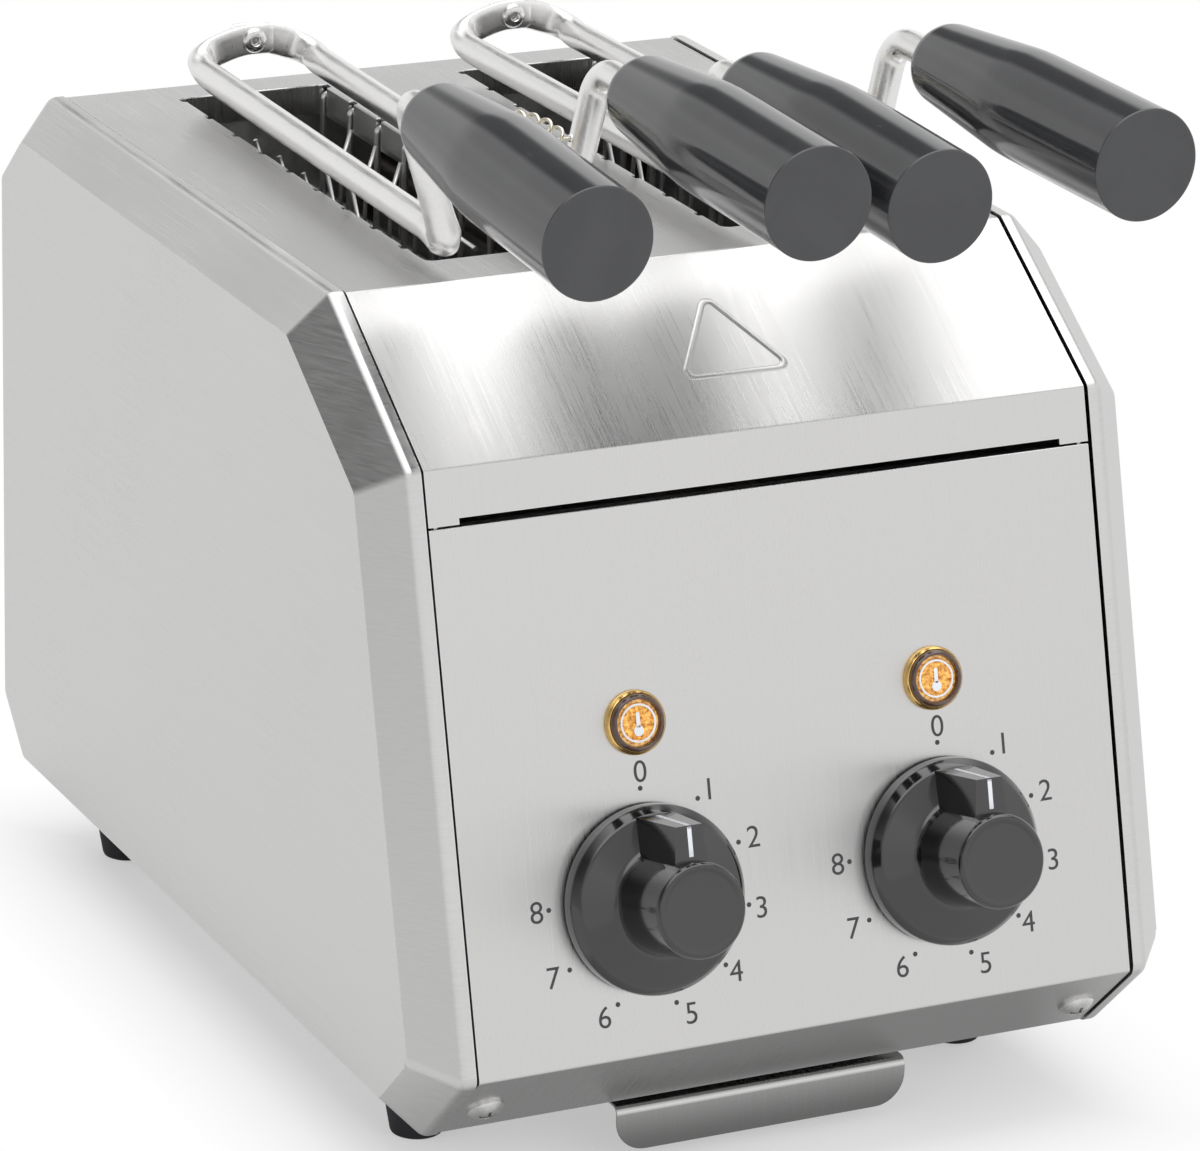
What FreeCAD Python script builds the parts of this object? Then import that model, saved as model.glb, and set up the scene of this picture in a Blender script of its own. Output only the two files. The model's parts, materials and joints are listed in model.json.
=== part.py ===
import FreeCAD, Part
import math
import os

os.makedirs("parts", exist_ok=True)
Vector = FreeCAD.Vector

# The frame: X to the right seen from the front, Y to the back, Z up, millimetres.
# The front faces -Y. The origin lies on the table, under the middle of the whole length.
# "Depth" below is a distance behind the foremost edge of the body, and it becomes a Y
# through at_depth(). "Rise" is a height above the underside of the body.

# Body
GROUND_GAP = 21.0
DEPTH_TO_MIDDLE = 164.0
TOP_RISE = 220.2
TOP_FRONT_DEPTH = 95.3
TOP_REAR_DEPTH = 307.2
SLOPE_FOOT_DEPTH = 42.3
SLOPE_FOOT_RISE = 185.9
FRONT_FOLD_RISE = 25.6
FRONT_CHAMFER_DEPTH = 26.6
REAR_BOTTOM_DEPTH = 310.9
REAR_LOW_DEPTH = 333.3
REAR_LOW_RISE = 23.3
REAR_HIGH_DEPTH = 331.1
REAR_HIGH_RISE = 198.7

# Side shells: pressed sheet with a flat face, a bevel all round and a narrow lip
SHELL_SHEET = 1.0
SHELL_LIP_X = 100.9
SHELL_RIDGE_X = 104.6
SHELL_FACE_X = 115.8
SHELL_BEVEL = 11.8

# Folded wrapper between the shells
WRAPPER_HALF_WIDTH = 100.0
WRAPPER_INSET = 0.6
SHEET = 1.0
SIDE_PLATE_X = 97.0
SIDE_PLATE_SHEET = 1.2
SIDE_PLATE_FLANGE = 14.0
BAND_HEIGHT = 13.7
RETURN_FLANGE = 9.0
BAND_GAP = 2.2
TAB_WIDTH = 9.0
CASING_REAR_SKIRT = 13.0
BOTTOM_FLANGE = 10.0

# Slots
SLOT_CENTRE_X = 45.4
SLOT_WIDTH = 45.0
SLOT_FRONT_DEPTH = 114.4
SLOT_REAR_DEPTH = 293.8
SLOT_RIM_DROP = 8.0
SLOT_CORNER = 2.5

# Dials, on the leaning control panel: up is measured from the lower fold along the panel
DIAL_X = 45.4
DIAL_UP = 42.6
LAMP_UP = 90.6
SHAFT_DIAMETER = 6.0
BUSH_DIAMETER = 10.0
LAMP_BODY_DIAMETER = 12.0
LAMP_BEZEL_DIAMETER = 17.0
LAMP_LENS_DIAMETER = 11.6
REGULATOR_HALF_WIDTH = 19.0
REGULATOR_DEPTH = 38.0
BLADE_OFFSET = 10.0
BLADE_END = 46.0

# Knobs
KNOB_GAP = 1.2
KNOB_SKIRT_RADIUS = 26.0
KNOB_RIM_RADIUS = 23.8
KNOB_RIM_HEIGHT = 5.5
KNOB_SHOULDER_HEIGHT = 8.0
KNOB_BOSS_BASE_RADIUS = 14.4
KNOB_BOSS_RADIUS = 13.1
KNOB_BOSS_BASE_HEIGHT = 10.5
KNOB_HEIGHT = 33.0
POINTER_REACH = 22.7
POINTER_HEIGHT = 28.8

# Feet
FOOT_X = 85.5
FOOT_FRONT_DEPTH = 74.0
FOOT_REAR_DEPTH = 296.0
FOOT_TOP_RADIUS = 11.0
FOOT_BOTTOM_RADIUS = 7.6

# Crumb tray and its rails, under the base plate
TRAY_HALF_WIDTH = 70.0
TRAY_SHEET = 0.8
TRAY_FLOOR_HEIGHT = 18.4
TRAY_RIM_HEIGHT = 21.0
TRAY_FRONT_DEPTH = 29.0
TRAY_REAR_DEPTH = 291.0
TAB_HALF_WIDTH = 45.0
TAB_FOOT_HEIGHT = 4.6
TAB_CORNER = 9.0
TAB_BEND = 2.6
RAIL_GAP = 0.4
RAIL_SHEET = 1.0
RAIL_FRONT_DEPTH = 42.0

# Tongs: two arms each, riveted behind, carried in a slot. Each sits in its slot with its own
# slight shift to the side and turn, as put back by hand.
TONG_SHIFTS = {"left": -0.4, "right": -2.5}
TONG_TURNS = {"left": -0.9, "right": 1.4}
TONG_TURN_DEPTH = 201.5
ARM_RADIUS = 4.25
ARM_OFFSET = 18.7
ARM_HEIGHT = 249.4
ARM_REAR_DEPTH = 291.2
ARM_FRONT_DEPTH = 107.4
ARM_SKEW = 2.4
ROD_LEAN = 3.0
PIVOT_HEIGHT = 255.9
PIVOT_DIAMETER = 4.0
PIVOT_CLEARANCE = 0.05
BAND_BEND = 6.0
STRIP_THICKNESS = 2.2
STRIP_GAP = 0.15
STRIP_PAST_PIVOT = 6.5
STRIP_HALF_HEIGHT = 4.6
CORNER_SECTIONS = 5
CORNER_SLACK = 0.12
CORNER_OVERLAP = 0.6
HANDLE_FRONT_OFFSET = 31.0
HANDLE_REAR_OFFSET = 30.0
HANDLE_FRONT_HEIGHT = 286.3
HANDLE_REAR_HEIGHT = 289.3
HANDLE_FRONT_SKEW = 2.2
HANDLE_REAR_SKEW = 1.0
HANDLE_FRONT_DEPTH = -20.0
HANDLE_REAR_DEPTH = 87.0
HANDLE_TAPER_DEPTH = 43.0
HANDLE_RADIUS = 15.5
HANDLE_REAR_RADIUS = 11.5
HANDLE_BORE_DEPTH = 42.0
SHOULDER_BEND = 7.5
ELBOW_RADIUS = 4.7
ELBOW_DROP = 1.1

# Cages hanging from the arms
CAGE_TOP_OFFSET = 12.5
CAGE_BOTTOM_OFFSET = 7.5
CAGE_TOP = 228.5
CAGE_BOTTOM = 115.8
CAGE_FRONT_DEPTH = 156.6
CAGE_REAR_DEPTH = 272.0
CAGE_RAIL_RADIUS = 0.8
CAGE_RAILS = 4
CAGE_WIRE_RADIUS = 0.65
CAGE_WIRES = 5
CAGE_FIRST_WIRE_DEPTH = 180.3
CAGE_WIRE_PITCH = 18.8
CAGE_FOOT = 1.2
CAGE_TIP_OFFSET = 15.2
CAGE_TIP_HEIGHT = 237.0
CAGE_HANGERS = 2
HANGER_END_X = 16.6
HANGER_END_HEIGHT = 247.5

# Springs between the rods of a tong
SPRING_WIRE_RADIUS = 0.55
SPRING_COIL_RADIUS = 2.4
SPRING_ARCH_RADIUS = 22.5
SPRING_HALF_SPAN = 17.0
SPRING_TOP = 279.8
SPRING_TURNS = 9.5
SPRING_SEAT_X = 20.2
SPRING_SEAT_RADIUS = 1.3

# Wire guards along both sides of each slot
GUARD_OFFSET = 22.2
GUARD_WIRE_RADIUS = 1.0
GUARD_RAIL_RADIUS = 1.5
GUARD_TOP = 238.0
GUARD_BOTTOM = 100.0
GUARD_FIRST_DEPTH = 129.2
GUARD_PITCH = 20.3
GUARD_PINS = 9
GUARD_HOOK_REACH = 3.2
GUARD_HOOK_DROP = 6.0
GUARD_NOTCH_HALF_WIDTH = 1.7
GUARD_NOTCH_REACH = 1.6
GUARD_RAIL_HEIGHTS = (110.0, 205.0)
CROSS_WIRE_DEPTHS = (157.0, 257.0)

# Heating
PARTITION_FRONT_DEPTH = 102.0
PARTITION_REAR_DEPTH = 300.0
HEATER_RADIUS = 3.5
HEATER_OUTER_X = 77.0
HEATER_INNER_X = 14.0
HEATER_HEIGHTS = (120.0, 154.0, 188.0, 222.0)
HEATER_REAR_DEPTH = 282.0
HEATER_FRONT_DEPTH = 114.0
HEATER_TAIL_DEPTH = 89.0
REFLECTOR_OUTER_X = 88.0
REFLECTOR_SHEET = 0.8
SUPPORT_DEPTHS = (144.0, 244.0)
SUPPORT_LOW = 112.0
SUPPORT_HIGH = 230.0
BUSH_HOLE_RADIUS = 6.0
BUSH_FLANGE_RADIUS = 8.0

# Leads
WIRE_RADIUS = 1.3
WIRE_CHANNEL_X = 92.6
WIRE_HEIGHT = 31.0
WIRE_HOLE_RADIUS = 1.9

# Terminal block, screwed to the rear partition
BLOCK_LEFT = -52.0
BLOCK_RIGHT = -8.0
BLOCK_REAR_Y = 148.0
BLOCK_LOW = 26.0
BLOCK_HIGH = 46.0
BLOCK_POLES = 4
BLOCK_PITCH = 10.6

# Screws through the two chamfers and the rear panel, near the ends, and the cable gland
SCREW_X = 91.5
SCREW_HOLE_RADIUS = 2.1
SCREW_SHANK_RADIUS = 2.0
SCREW_SHANK = 8.0
FRONT_HEAD_RADIUS = 5.2
REAR_HEAD_RADIUS = 4.2
TOP_REAR_SCREW_HEIGHT = GROUND_GAP + REAR_HIGH_RISE - 8.0
GLAND_X = 62.0
GLAND_HEIGHT = 62.0
GLAND_THREAD_RADIUS = 8.0
GLAND_BORE_RADIUS = 3.6
GLAND_END_Y = 187.5

# Louvres of the rear panel
LOUVRES = 7
LOUVRE_LOW = 120.0
LOUVRE_PITCH = 10.0
LOUVRE_HEIGHT = 4.0
LOUVRE_INNER_X = 12.0
LOUVRE_OUTER_X = 72.0

# Spacers between side plate and side shell, as (depth, height)
SPACER_RADIUS = 5.0
SPACER_SPOTS = ((60.0, 75.0), (100.0, 195.0), (280.0, 75.0), (280.0, 195.0))

# Opening of the base plate over the crumb tray
BASE_OPENING_HALF_WIDTH = 66.0


def at_depth(depth):
    return depth - DEPTH_TO_MIDDLE


def inset(points, distance):
    """Corners of a convex outline moved inwards by a distance; outwards if negative."""
    middle_y = sum(p[0] for p in points) / len(points)
    middle_z = sum(p[1] for p in points) / len(points)
    sides = []
    for index, start in enumerate(points):
        end = points[(index + 1) % len(points)]
        length = math.hypot(end[0] - start[0], end[1] - start[1])
        normal = (-(end[1] - start[1]) / length, (end[0] - start[0]) / length)
        inward = normal[0] * (middle_y - start[0]) + normal[1] * (middle_z - start[1])
        if inward < 0:
            normal = (-normal[0], -normal[1])
        reach = normal[0] * start[0] + normal[1] * start[1] + distance
        sides.append((normal, reach))
    corners = []
    for index, (normal, reach) in enumerate(sides):
        before, before_reach = sides[index - 1]
        determinant = before[0] * normal[1] - before[1] * normal[0]
        y = (before_reach * normal[1] - before[1] * reach) / determinant
        z = (before[0] * reach - before_reach * normal[0]) / determinant
        corners.append((y, z))
    return corners


def outline_wire(points, x):
    return Part.makePolygon([Vector(x, y, z) for y, z in points + points[:1]])


def prism(points, x_low, x_high):
    """Solid between two X planes with a (y, z) outline."""
    return Part.Face(outline_wire(points, x_low)).extrude(Vector(x_high - x_low, 0, 0))


def skin(points_low, x_low, points_high, x_high):
    """Solid with flat sides between two like outlines in different X planes."""
    wires = [outline_wire(points_low, x_low), outline_wire(points_high, x_high)]
    return Part.makeLoft(wires, True, True)


def box(x_low, x_high, y_low, y_high, z_low, z_high):
    corner = Vector(x_low, y_low, z_low)
    return Part.makeBox(x_high - x_low, y_high - y_low, z_high - z_low, corner)


def rod(start, end, radius):
    direction = end - start
    return Part.makeCylinder(radius, direction.Length, start, direction)


def mirror_x(shape):
    return shape.mirror(Vector(0, 0, 0), Vector(1, 0, 0))


def bent_path(points, bend):
    """Straight runs joined by tangent arcs, as one wire."""
    edges = []
    start = points[0]
    for index in range(1, len(points) - 1):
        corner = points[index]
        back = (points[index - 1] - corner).normalize()
        ahead = (points[index + 1] - corner).normalize()
        half_angle = back.getAngle(ahead) / 2
        reach = bend / math.tan(half_angle)
        first = corner + back * reach
        last = corner + ahead * reach
        bisector = (back + ahead).normalize()
        middle = corner + bisector * (bend / math.sin(half_angle) - bend)
        edges.append(Part.LineSegment(start, first).toShape())
        edges.append(Part.Arc(first, middle, last).toShape())
        start = last
    edges.append(Part.LineSegment(start, points[-1]).toShape())
    return Part.Wire(edges)


def tube_along(path, radius):
    """Round bar along a smooth wire; it prints when the volume is not section times length."""
    start = path.OrderedEdges[0].valueAt(path.OrderedEdges[0].FirstParameter)
    heading = path.OrderedEdges[0].tangentAt(path.OrderedEdges[0].FirstParameter)
    profile = Part.Wire([Part.makeCircle(radius, start, heading)])
    solid = path.makePipeShell([profile], True, False)
    expected = math.pi * radius * radius * path.Length
    if abs(solid.Volume / expected - 1) > 0.02 or not solid.isValid():
        print("tube volume", solid.Volume, "expected", expected, "valid", solid.isValid())
    return solid


def bent_tube(points, bend, radius):
    return tube_along(bent_path(points, bend), radius)


def revolved(profile, axis_start, axis_direction):
    """Turn a closed list of (radius, along) points about an axis given by a point and a direction."""
    wire = Part.makePolygon([Vector(r, 0, along) for r, along in profile + profile[:1]])
    solid = Part.Face(wire).revolve(Vector(0, 0, 0), Vector(0, 0, 1), 360)
    turn = FreeCAD.Rotation(Vector(0, 0, 1), axis_direction)
    solid.Placement = FreeCAD.Placement(axis_start, turn)
    return solid


def joined(shapes):
    solid = shapes[0]
    for shape in shapes[1:]:
        solid = solid.fuse(shape)
    return solid.removeSplitter()


def write(name, shape):
    solids = shape.Solids
    if not solids or not shape.isValid():
        print("bad shape", name, len(solids))
    if len(solids) == 1:
        shape = solids[0]
    else:
        shape = Part.makeCompound(solids)
    shape.exportStep("parts/" + name + ".step")


OUTLINE = [
    (at_depth(TOP_REAR_DEPTH), GROUND_GAP + TOP_RISE),
    (at_depth(TOP_FRONT_DEPTH), GROUND_GAP + TOP_RISE),
    (at_depth(SLOPE_FOOT_DEPTH), GROUND_GAP + SLOPE_FOOT_RISE),
    (at_depth(0.0), GROUND_GAP + FRONT_FOLD_RISE),
    (at_depth(FRONT_CHAMFER_DEPTH), GROUND_GAP),
    (at_depth(REAR_BOTTOM_DEPTH), GROUND_GAP),
    (at_depth(REAR_LOW_DEPTH), GROUND_GAP + REAR_LOW_RISE),
    (at_depth(REAR_HIGH_DEPTH), GROUND_GAP + REAR_HIGH_RISE),
]
WRAPPER_OUTSIDE = inset(OUTLINE, WRAPPER_INSET)
WRAPPER_INSIDE = inset(OUTLINE, WRAPPER_INSET + SHEET)
INNER_SIDE = inset(OUTLINE, WRAPPER_INSET + SHEET + SIDE_PLATE_SHEET)
UNDERSIDE = WRAPPER_OUTSIDE[4][1]
BASE_TOP = UNDERSIDE + SHEET
ROOF_INSIDE = WRAPPER_INSIDE[0][1]

# The front panel's own directions in the YZ plane
PANEL_FOLD = Vector(0, *WRAPPER_OUTSIDE[3])
PANEL_UP = (Vector(0, *WRAPPER_OUTSIDE[2]) - PANEL_FOLD).normalize()
PANEL_OUT = Vector(0, -PANEL_UP.z, PANEL_UP.y)
BAND_END = Vector(0, *WRAPPER_OUTSIDE[2]) - PANEL_UP * BAND_HEIGHT
PANEL_END = BAND_END - PANEL_UP * BAND_GAP


def on_panel(shape, x, up):
    """Place a shape built with X right, Y up the panel and Z out of it."""
    origin = PANEL_FOLD + PANEL_UP * up + Vector(x, 0, 0)
    matrix = FreeCAD.Matrix(
        1, 0, 0, origin.x,
        0, PANEL_UP.y, PANEL_OUT.y, origin.y,
        0, PANEL_UP.z, PANEL_OUT.z, origin.z,
        0, 0, 0, 1)
    placed = shape.copy()
    placed.Placement = FreeCAD.Placement(matrix).multiply(placed.Placement)
    return placed


def yz(vector):
    return (vector.y, vector.z)


def make_side_shells():
    inner_ridge = SHELL_RIDGE_X - SHELL_SHEET * math.tan(math.radians(22.5))
    face_inset = SHELL_BEVEL + SHELL_SHEET * math.tan(math.radians(22.5))
    face = inset(OUTLINE, SHELL_BEVEL)
    inside = inset(OUTLINE, SHELL_SHEET)
    inside_face = inset(OUTLINE, face_inset)
    outer = joined([
        prism(OUTLINE, SHELL_LIP_X, SHELL_RIDGE_X),
        skin(OUTLINE, SHELL_RIDGE_X, face, SHELL_FACE_X)])
    inner = joined([
        prism(inside, SHELL_LIP_X - 1, inner_ridge),
        skin(inside, inner_ridge, inside_face, SHELL_FACE_X - SHELL_SHEET)])
    shell = outer.cut(inner)
    write("side_shell_right", shell)
    write("side_shell_left", mirror_x(shell))


def make_side_plates():
    plate = prism(WRAPPER_INSIDE, SIDE_PLATE_X, SIDE_PLATE_X + SIDE_PLATE_SHEET)
    ring = prism(WRAPPER_INSIDE, SIDE_PLATE_X - SIDE_PLATE_FLANGE, SIDE_PLATE_X + 0.5)
    ring = ring.cut(prism(INNER_SIDE, 0, SIDE_PLATE_X + 1))
    front = box(0, 120, at_depth(0), at_depth(24), BASE_TOP, GROUND_GAP + FRONT_FOLD_RISE)
    rear = box(0, 120, at_depth(313), at_depth(340), BASE_TOP, GROUND_GAP + REAR_LOW_RISE)
    plate = joined([plate, ring.common(front), ring.common(rear)])
    spacers = []
    for depth, height in SPACER_SPOTS:
        spot = Vector(SIDE_PLATE_X + SIDE_PLATE_SHEET, at_depth(depth), height)
        reach = SHELL_FACE_X - SHELL_SHEET - spot.x
        spacer = Part.makeCylinder(SPACER_RADIUS, reach, spot, Vector(1, 0, 0))
        spacers += [spacer, mirror_x(spacer)]
    for screw in (FRONT_SCREW, REAR_SCREW):
        way = rod(screw + screw_out(screw) * 3, screw - screw_out(screw) * 12, SCREW_HOLE_RADIUS + 0.9)
        way.translate(Vector(SCREW_X, 0, 0))
        plate = plate.cut(way)
    write("side_plate_right", plate)
    write("side_plate_left", mirror_x(plate))
    write("shell_spacers", Part.makeCompound(spacers))


def wrapper_ring():
    outside = prism(WRAPPER_OUTSIDE, -WRAPPER_HALF_WIDTH, WRAPPER_HALF_WIDTH)
    inside = prism(WRAPPER_INSIDE, -WRAPPER_HALF_WIDTH - 1, WRAPPER_HALF_WIDTH + 1)
    return outside.cut(inside)


def flange_behind(edge, up_sign, depth, half_width):
    """A sheet folded inwards from an edge of the front, lying above or below that edge."""
    into = edge - PANEL_OUT * depth
    step = PANEL_UP * (SHEET * up_sign)
    return prism([yz(edge), yz(into), yz(into + step), yz(edge + step)], -half_width, half_width)


def slot_boxes(clearance, z_low, z_high):
    solids = []
    for side in (-1, 1):
        middle = side * SLOT_CENTRE_X
        reach = SLOT_WIDTH / 2 + clearance
        solid = box(middle - reach, middle + reach, at_depth(SLOT_FRONT_DEPTH) - clearance,
                    at_depth(SLOT_REAR_DEPTH) + clearance, z_low, z_high)
        upright = [edge for edge in solid.Edges if abs(edge.tangentAt(0).z) > 0.9]
        solids.append(solid.makeFillet(SLOT_CORNER + clearance, upright))
    return solids


def guard_depths():
    return [GUARD_FIRST_DEPTH + pin * GUARD_PITCH for pin in range(GUARD_PINS)]


def guard_notches():
    """Cuts in the rims of the slots that let the hooked tops of the guard wires through."""
    notches = []
    for side in (-1, 1):
        for wall in (-1, 1):
            edge = side * SLOT_CENTRE_X + wall * SLOT_WIDTH / 2
            for depth in guard_depths():
                y = at_depth(depth)
                notches.append(box(edge - GUARD_NOTCH_REACH, edge + GUARD_NOTCH_REACH,
                                   y - GUARD_NOTCH_HALF_WIDTH, y + GUARD_NOTCH_HALF_WIDTH,
                                   ROOF_INSIDE - SLOT_RIM_DROP - 1, ROOF_INSIDE + SHEET + 1))
    return notches


def make_top_casing():
    far_in = BAND_END - PANEL_OUT * 30
    far_out = BAND_END + PANEL_OUT * 10
    rear_end = GROUND_GAP + REAR_HIGH_RISE - CASING_REAR_SKIRT
    keep = prism([yz(far_out), yz(far_in), (-80, 150), (100, 150), (100, rear_end),
                  (200, rear_end), (200, 300), (-200, 300)], -120, 120)
    casing = wrapper_ring().common(keep)
    casing = casing.fuse(flange_behind(BAND_END, 1, RETURN_FLANGE, SIDE_PLATE_X))
    for side in (-1, 1):
        tab = prism([yz(BAND_END + PANEL_UP), yz(BAND_END - PANEL_UP * 1.7),
                     yz(BAND_END - PANEL_UP * 1.7 - PANEL_OUT * SHEET),
                     yz(BAND_END + PANEL_UP - PANEL_OUT * SHEET)],
                    side * (WRAPPER_HALF_WIDTH - TAB_WIDTH), side * WRAPPER_HALF_WIDTH)
        casing = casing.fuse(tab)
    for rim in slot_boxes(SHEET, ROOF_INSIDE - SLOT_RIM_DROP, ROOF_INSIDE + SHEET / 2):
        casing = casing.fuse(rim)
    for hole in slot_boxes(0, ROOF_INSIDE - 50, ROOF_INSIDE + 50):
        casing = casing.cut(hole)
    casing = casing.cut(Part.makeCompound(guard_notches()))
    for side in (-1, 1):
        spot = Vector(side * SCREW_X, at_depth(REAR_HIGH_DEPTH) - 6, TOP_REAR_SCREW_HEIGHT)
        casing = casing.cut(Part.makeCylinder(SCREW_HOLE_RADIUS, 12, spot, Vector(0, 1, 0)))
    write("top_casing", casing.removeSplitter())


def make_control_panel():
    far_in = PANEL_END - PANEL_OUT * 30
    far_out = PANEL_END + PANEL_OUT * 10
    end = at_depth(FRONT_CHAMFER_DEPTH) + BOTTOM_FLANGE
    keep = prism([yz(far_out), yz(far_in), (-95, 40), (end, 40), (end, 10), (-200, 10)], -120, 120)
    panel = wrapper_ring().common(keep)
    panel = panel.fuse(flange_behind(PANEL_END, -1, RETURN_FLANGE, SIDE_PLATE_X - 0.5))
    holes = []
    for side in (-1, 1):
        shaft_hole = Part.makeCylinder(BUSH_DIAMETER / 2, 20, Vector(0, 0, -10))
        lamp_hole = Part.makeCylinder(LAMP_BODY_DIAMETER / 2, 20, Vector(0, 0, -10))
        holes.append(on_panel(shaft_hole, side * DIAL_X, DIAL_UP))
        holes.append(on_panel(lamp_hole, side * DIAL_X, LAMP_UP))
        spot = Vector(side * SCREW_X, FRONT_SCREW.y, FRONT_SCREW.z)
        holes.append(Part.makeCylinder(SCREW_HOLE_RADIUS, 12, spot + FRONT_SCREW_OUT * 6,
                                       FRONT_SCREW_OUT * -1))
    for hole in holes:
        panel = panel.cut(hole)
    write("control_panel", panel.removeSplitter())


def make_rear_panel():
    top = GROUND_GAP + REAR_HIGH_RISE - CASING_REAR_SKIRT - 0.5
    end = at_depth(REAR_BOTTOM_DEPTH) - BOTTOM_FLANGE
    keep = prism([(100, 60), (100, top), (200, top), (200, 0), (end, 0), (end, 40)], -120, 120)
    panel = wrapper_ring().common(keep)
    lap_outside = prism(WRAPPER_INSIDE, -SIDE_PLATE_X, SIDE_PLATE_X)
    lap = lap_outside.cut(prism(INNER_SIDE, -120, 120))
    lap = lap.common(box(-SIDE_PLATE_X + 0.5, SIDE_PLATE_X - 0.5, 100, 200, top - 8, top + 9))
    panel = panel.fuse(lap)
    rear_face = at_depth(REAR_LOW_DEPTH)
    for row in range(LOUVRES):
        for side in (-1, 1):
            low = LOUVRE_LOW + LOUVRE_PITCH * row
            ends = sorted((side * LOUVRE_INNER_X, side * LOUVRE_OUTER_X))
            panel = panel.cut(box(ends[0], ends[1], rear_face - 12, rear_face + 5,
                                  low, low + LOUVRE_HEIGHT))
    gland = Part.makeCylinder(GLAND_THREAD_RADIUS, 30, Vector(GLAND_X, rear_face - 15, GLAND_HEIGHT),
                              Vector(0, 1, 0))
    panel = panel.cut(gland)
    for side in (-1, 1):
        spot = Vector(side * SCREW_X, at_depth(REAR_HIGH_DEPTH) - 6, TOP_REAR_SCREW_HEIGHT)
        panel = panel.cut(Part.makeCylinder(SCREW_HOLE_RADIUS, 12, spot, Vector(0, 1, 0)))
        spot = Vector(side * SCREW_X, REAR_SCREW.y, REAR_SCREW.z)
        panel = panel.cut(Part.makeCylinder(SCREW_HOLE_RADIUS, 12, spot + REAR_SCREW_OUT * 6,
                                            REAR_SCREW_OUT * -1))
    write("rear_panel", panel.removeSplitter())


def chamfer_spot(low, high, share):
    """A point on a chamfer of the wrapper and the direction out of it."""
    start = Vector(0, *low)
    end = Vector(0, *high)
    along = (end - start).normalize()
    out = Vector(0, along.z, -along.y)
    if out.z > 0:
        out = out * -1
    return start + (end - start) * share, out


FRONT_SCREW, FRONT_SCREW_OUT = chamfer_spot(WRAPPER_OUTSIDE[3], WRAPPER_OUTSIDE[4], 0.56)
REAR_SCREW, REAR_SCREW_OUT = chamfer_spot(WRAPPER_OUTSIDE[6], WRAPPER_OUTSIDE[5], 0.5)


def screw_out(screw):
    return FRONT_SCREW_OUT if screw is FRONT_SCREW else REAR_SCREW_OUT


def pan_screw(spot, out, head_radius):
    """Pan-head screw with a domed head on the surface and a cross recess."""
    dome_radius = head_radius * 1.35
    rim = 0.9
    head = Part.makeCylinder(head_radius, rim + 2.2)
    ball_low = rim + 2.2 - dome_radius
    head = head.common(Part.makeSphere(dome_radius, Vector(0, 0, ball_low)))
    for turn in (0, 90):
        arm = box(-head_radius * 0.5, head_radius * 0.5, -0.5, 0.5, rim + 0.6, rim + 4)
        arm.rotate(Vector(0, 0, 0), Vector(0, 0, 1), turn)
        head = head.cut(arm)
    shank = Part.makeCylinder(SCREW_SHANK_RADIUS, SCREW_SHANK, Vector(0, 0, -SCREW_SHANK))
    screw = joined([head, shank])
    screw.Placement = FreeCAD.Placement(spot, FreeCAD.Rotation(Vector(0, 0, 1), out))
    return screw


def make_casing_screws():
    front = []
    rear = []
    for side in (-1, 1):
        spot = Vector(side * SCREW_X, FRONT_SCREW.y, FRONT_SCREW.z)
        front.append(pan_screw(spot, FRONT_SCREW_OUT, FRONT_HEAD_RADIUS))
        spot = Vector(side * SCREW_X, REAR_SCREW.y, REAR_SCREW.z)
        rear.append(pan_screw(spot, REAR_SCREW_OUT, REAR_HEAD_RADIUS))
        lean = (WRAPPER_OUTSIDE[7][0] - WRAPPER_OUTSIDE[6][0])
        lean = lean / (WRAPPER_OUTSIDE[7][1] - WRAPPER_OUTSIDE[6][1])
        face_y = WRAPPER_OUTSIDE[7][0] + lean * (TOP_REAR_SCREW_HEIGHT - WRAPPER_OUTSIDE[7][1])
        spot = Vector(side * SCREW_X, face_y, TOP_REAR_SCREW_HEIGHT)
        rear.append(pan_screw(spot, Vector(0, 1, -lean), REAR_HEAD_RADIUS))
    write("front_screws", Part.makeCompound(front))
    write("rear_screws", Part.makeCompound(rear))


def make_base_plate():
    front = at_depth(FRONT_CHAMFER_DEPTH) + BOTTOM_FLANGE
    rear = at_depth(REAR_BOTTOM_DEPTH) - BOTTOM_FLANGE
    plate = box(-SIDE_PLATE_X, SIDE_PLATE_X, front, rear, UNDERSIDE, BASE_TOP)
    half = BASE_OPENING_HALF_WIDTH
    plate = plate.cut(box(-half, half, at_depth(SLOT_FRONT_DEPTH), at_depth(SLOT_REAR_DEPTH), 0, 50))
    for spot in foot_spots():
        hole = Part.makeCylinder(SCREW_HOLE_RADIUS, 10, Vector(spot.x, spot.y, UNDERSIDE - 5))
        plate = plate.cut(hole)
    write("base_plate", plate)


def foot_spots():
    spots = []
    for depth in (FOOT_FRONT_DEPTH, FOOT_REAR_DEPTH):
        for side in (-1, 1):
            spots.append(Vector(side * FOOT_X, at_depth(depth), 0))
    return spots


def make_feet():
    feet = []
    hole = SCREW_HOLE_RADIUS
    profile = [(hole, UNDERSIDE), (hole, 12.0), (5.0, 12.0), (5.0, 0.0),
               (FOOT_BOTTOM_RADIUS - 0.6, 0.0), (FOOT_BOTTOM_RADIUS, 0.6),
               (FOOT_TOP_RADIUS, UNDERSIDE)]
    screws = []
    for spot in foot_spots():
        feet.append(revolved(profile, spot, Vector(0, 0, 1)))
        head = Part.makeCylinder(4.2, 2.8, spot + Vector(0, 0, 9.2))
        shank = Part.makeCylinder(SCREW_SHANK_RADIUS, 16.0, spot + Vector(0, 0, 11.5))
        nut = hexagon(3.5, 3.2).cut(Part.makeCylinder(SCREW_SHANK_RADIUS, 10, Vector(0, 0, -2)))
        nut.translate(spot + Vector(0, 0, BASE_TOP))
        screws.append(joined([head, shank]))
        screws.append(nut)
    write("feet", Part.makeCompound(feet))
    write("foot_screws", Part.makeCompound(screws))


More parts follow.
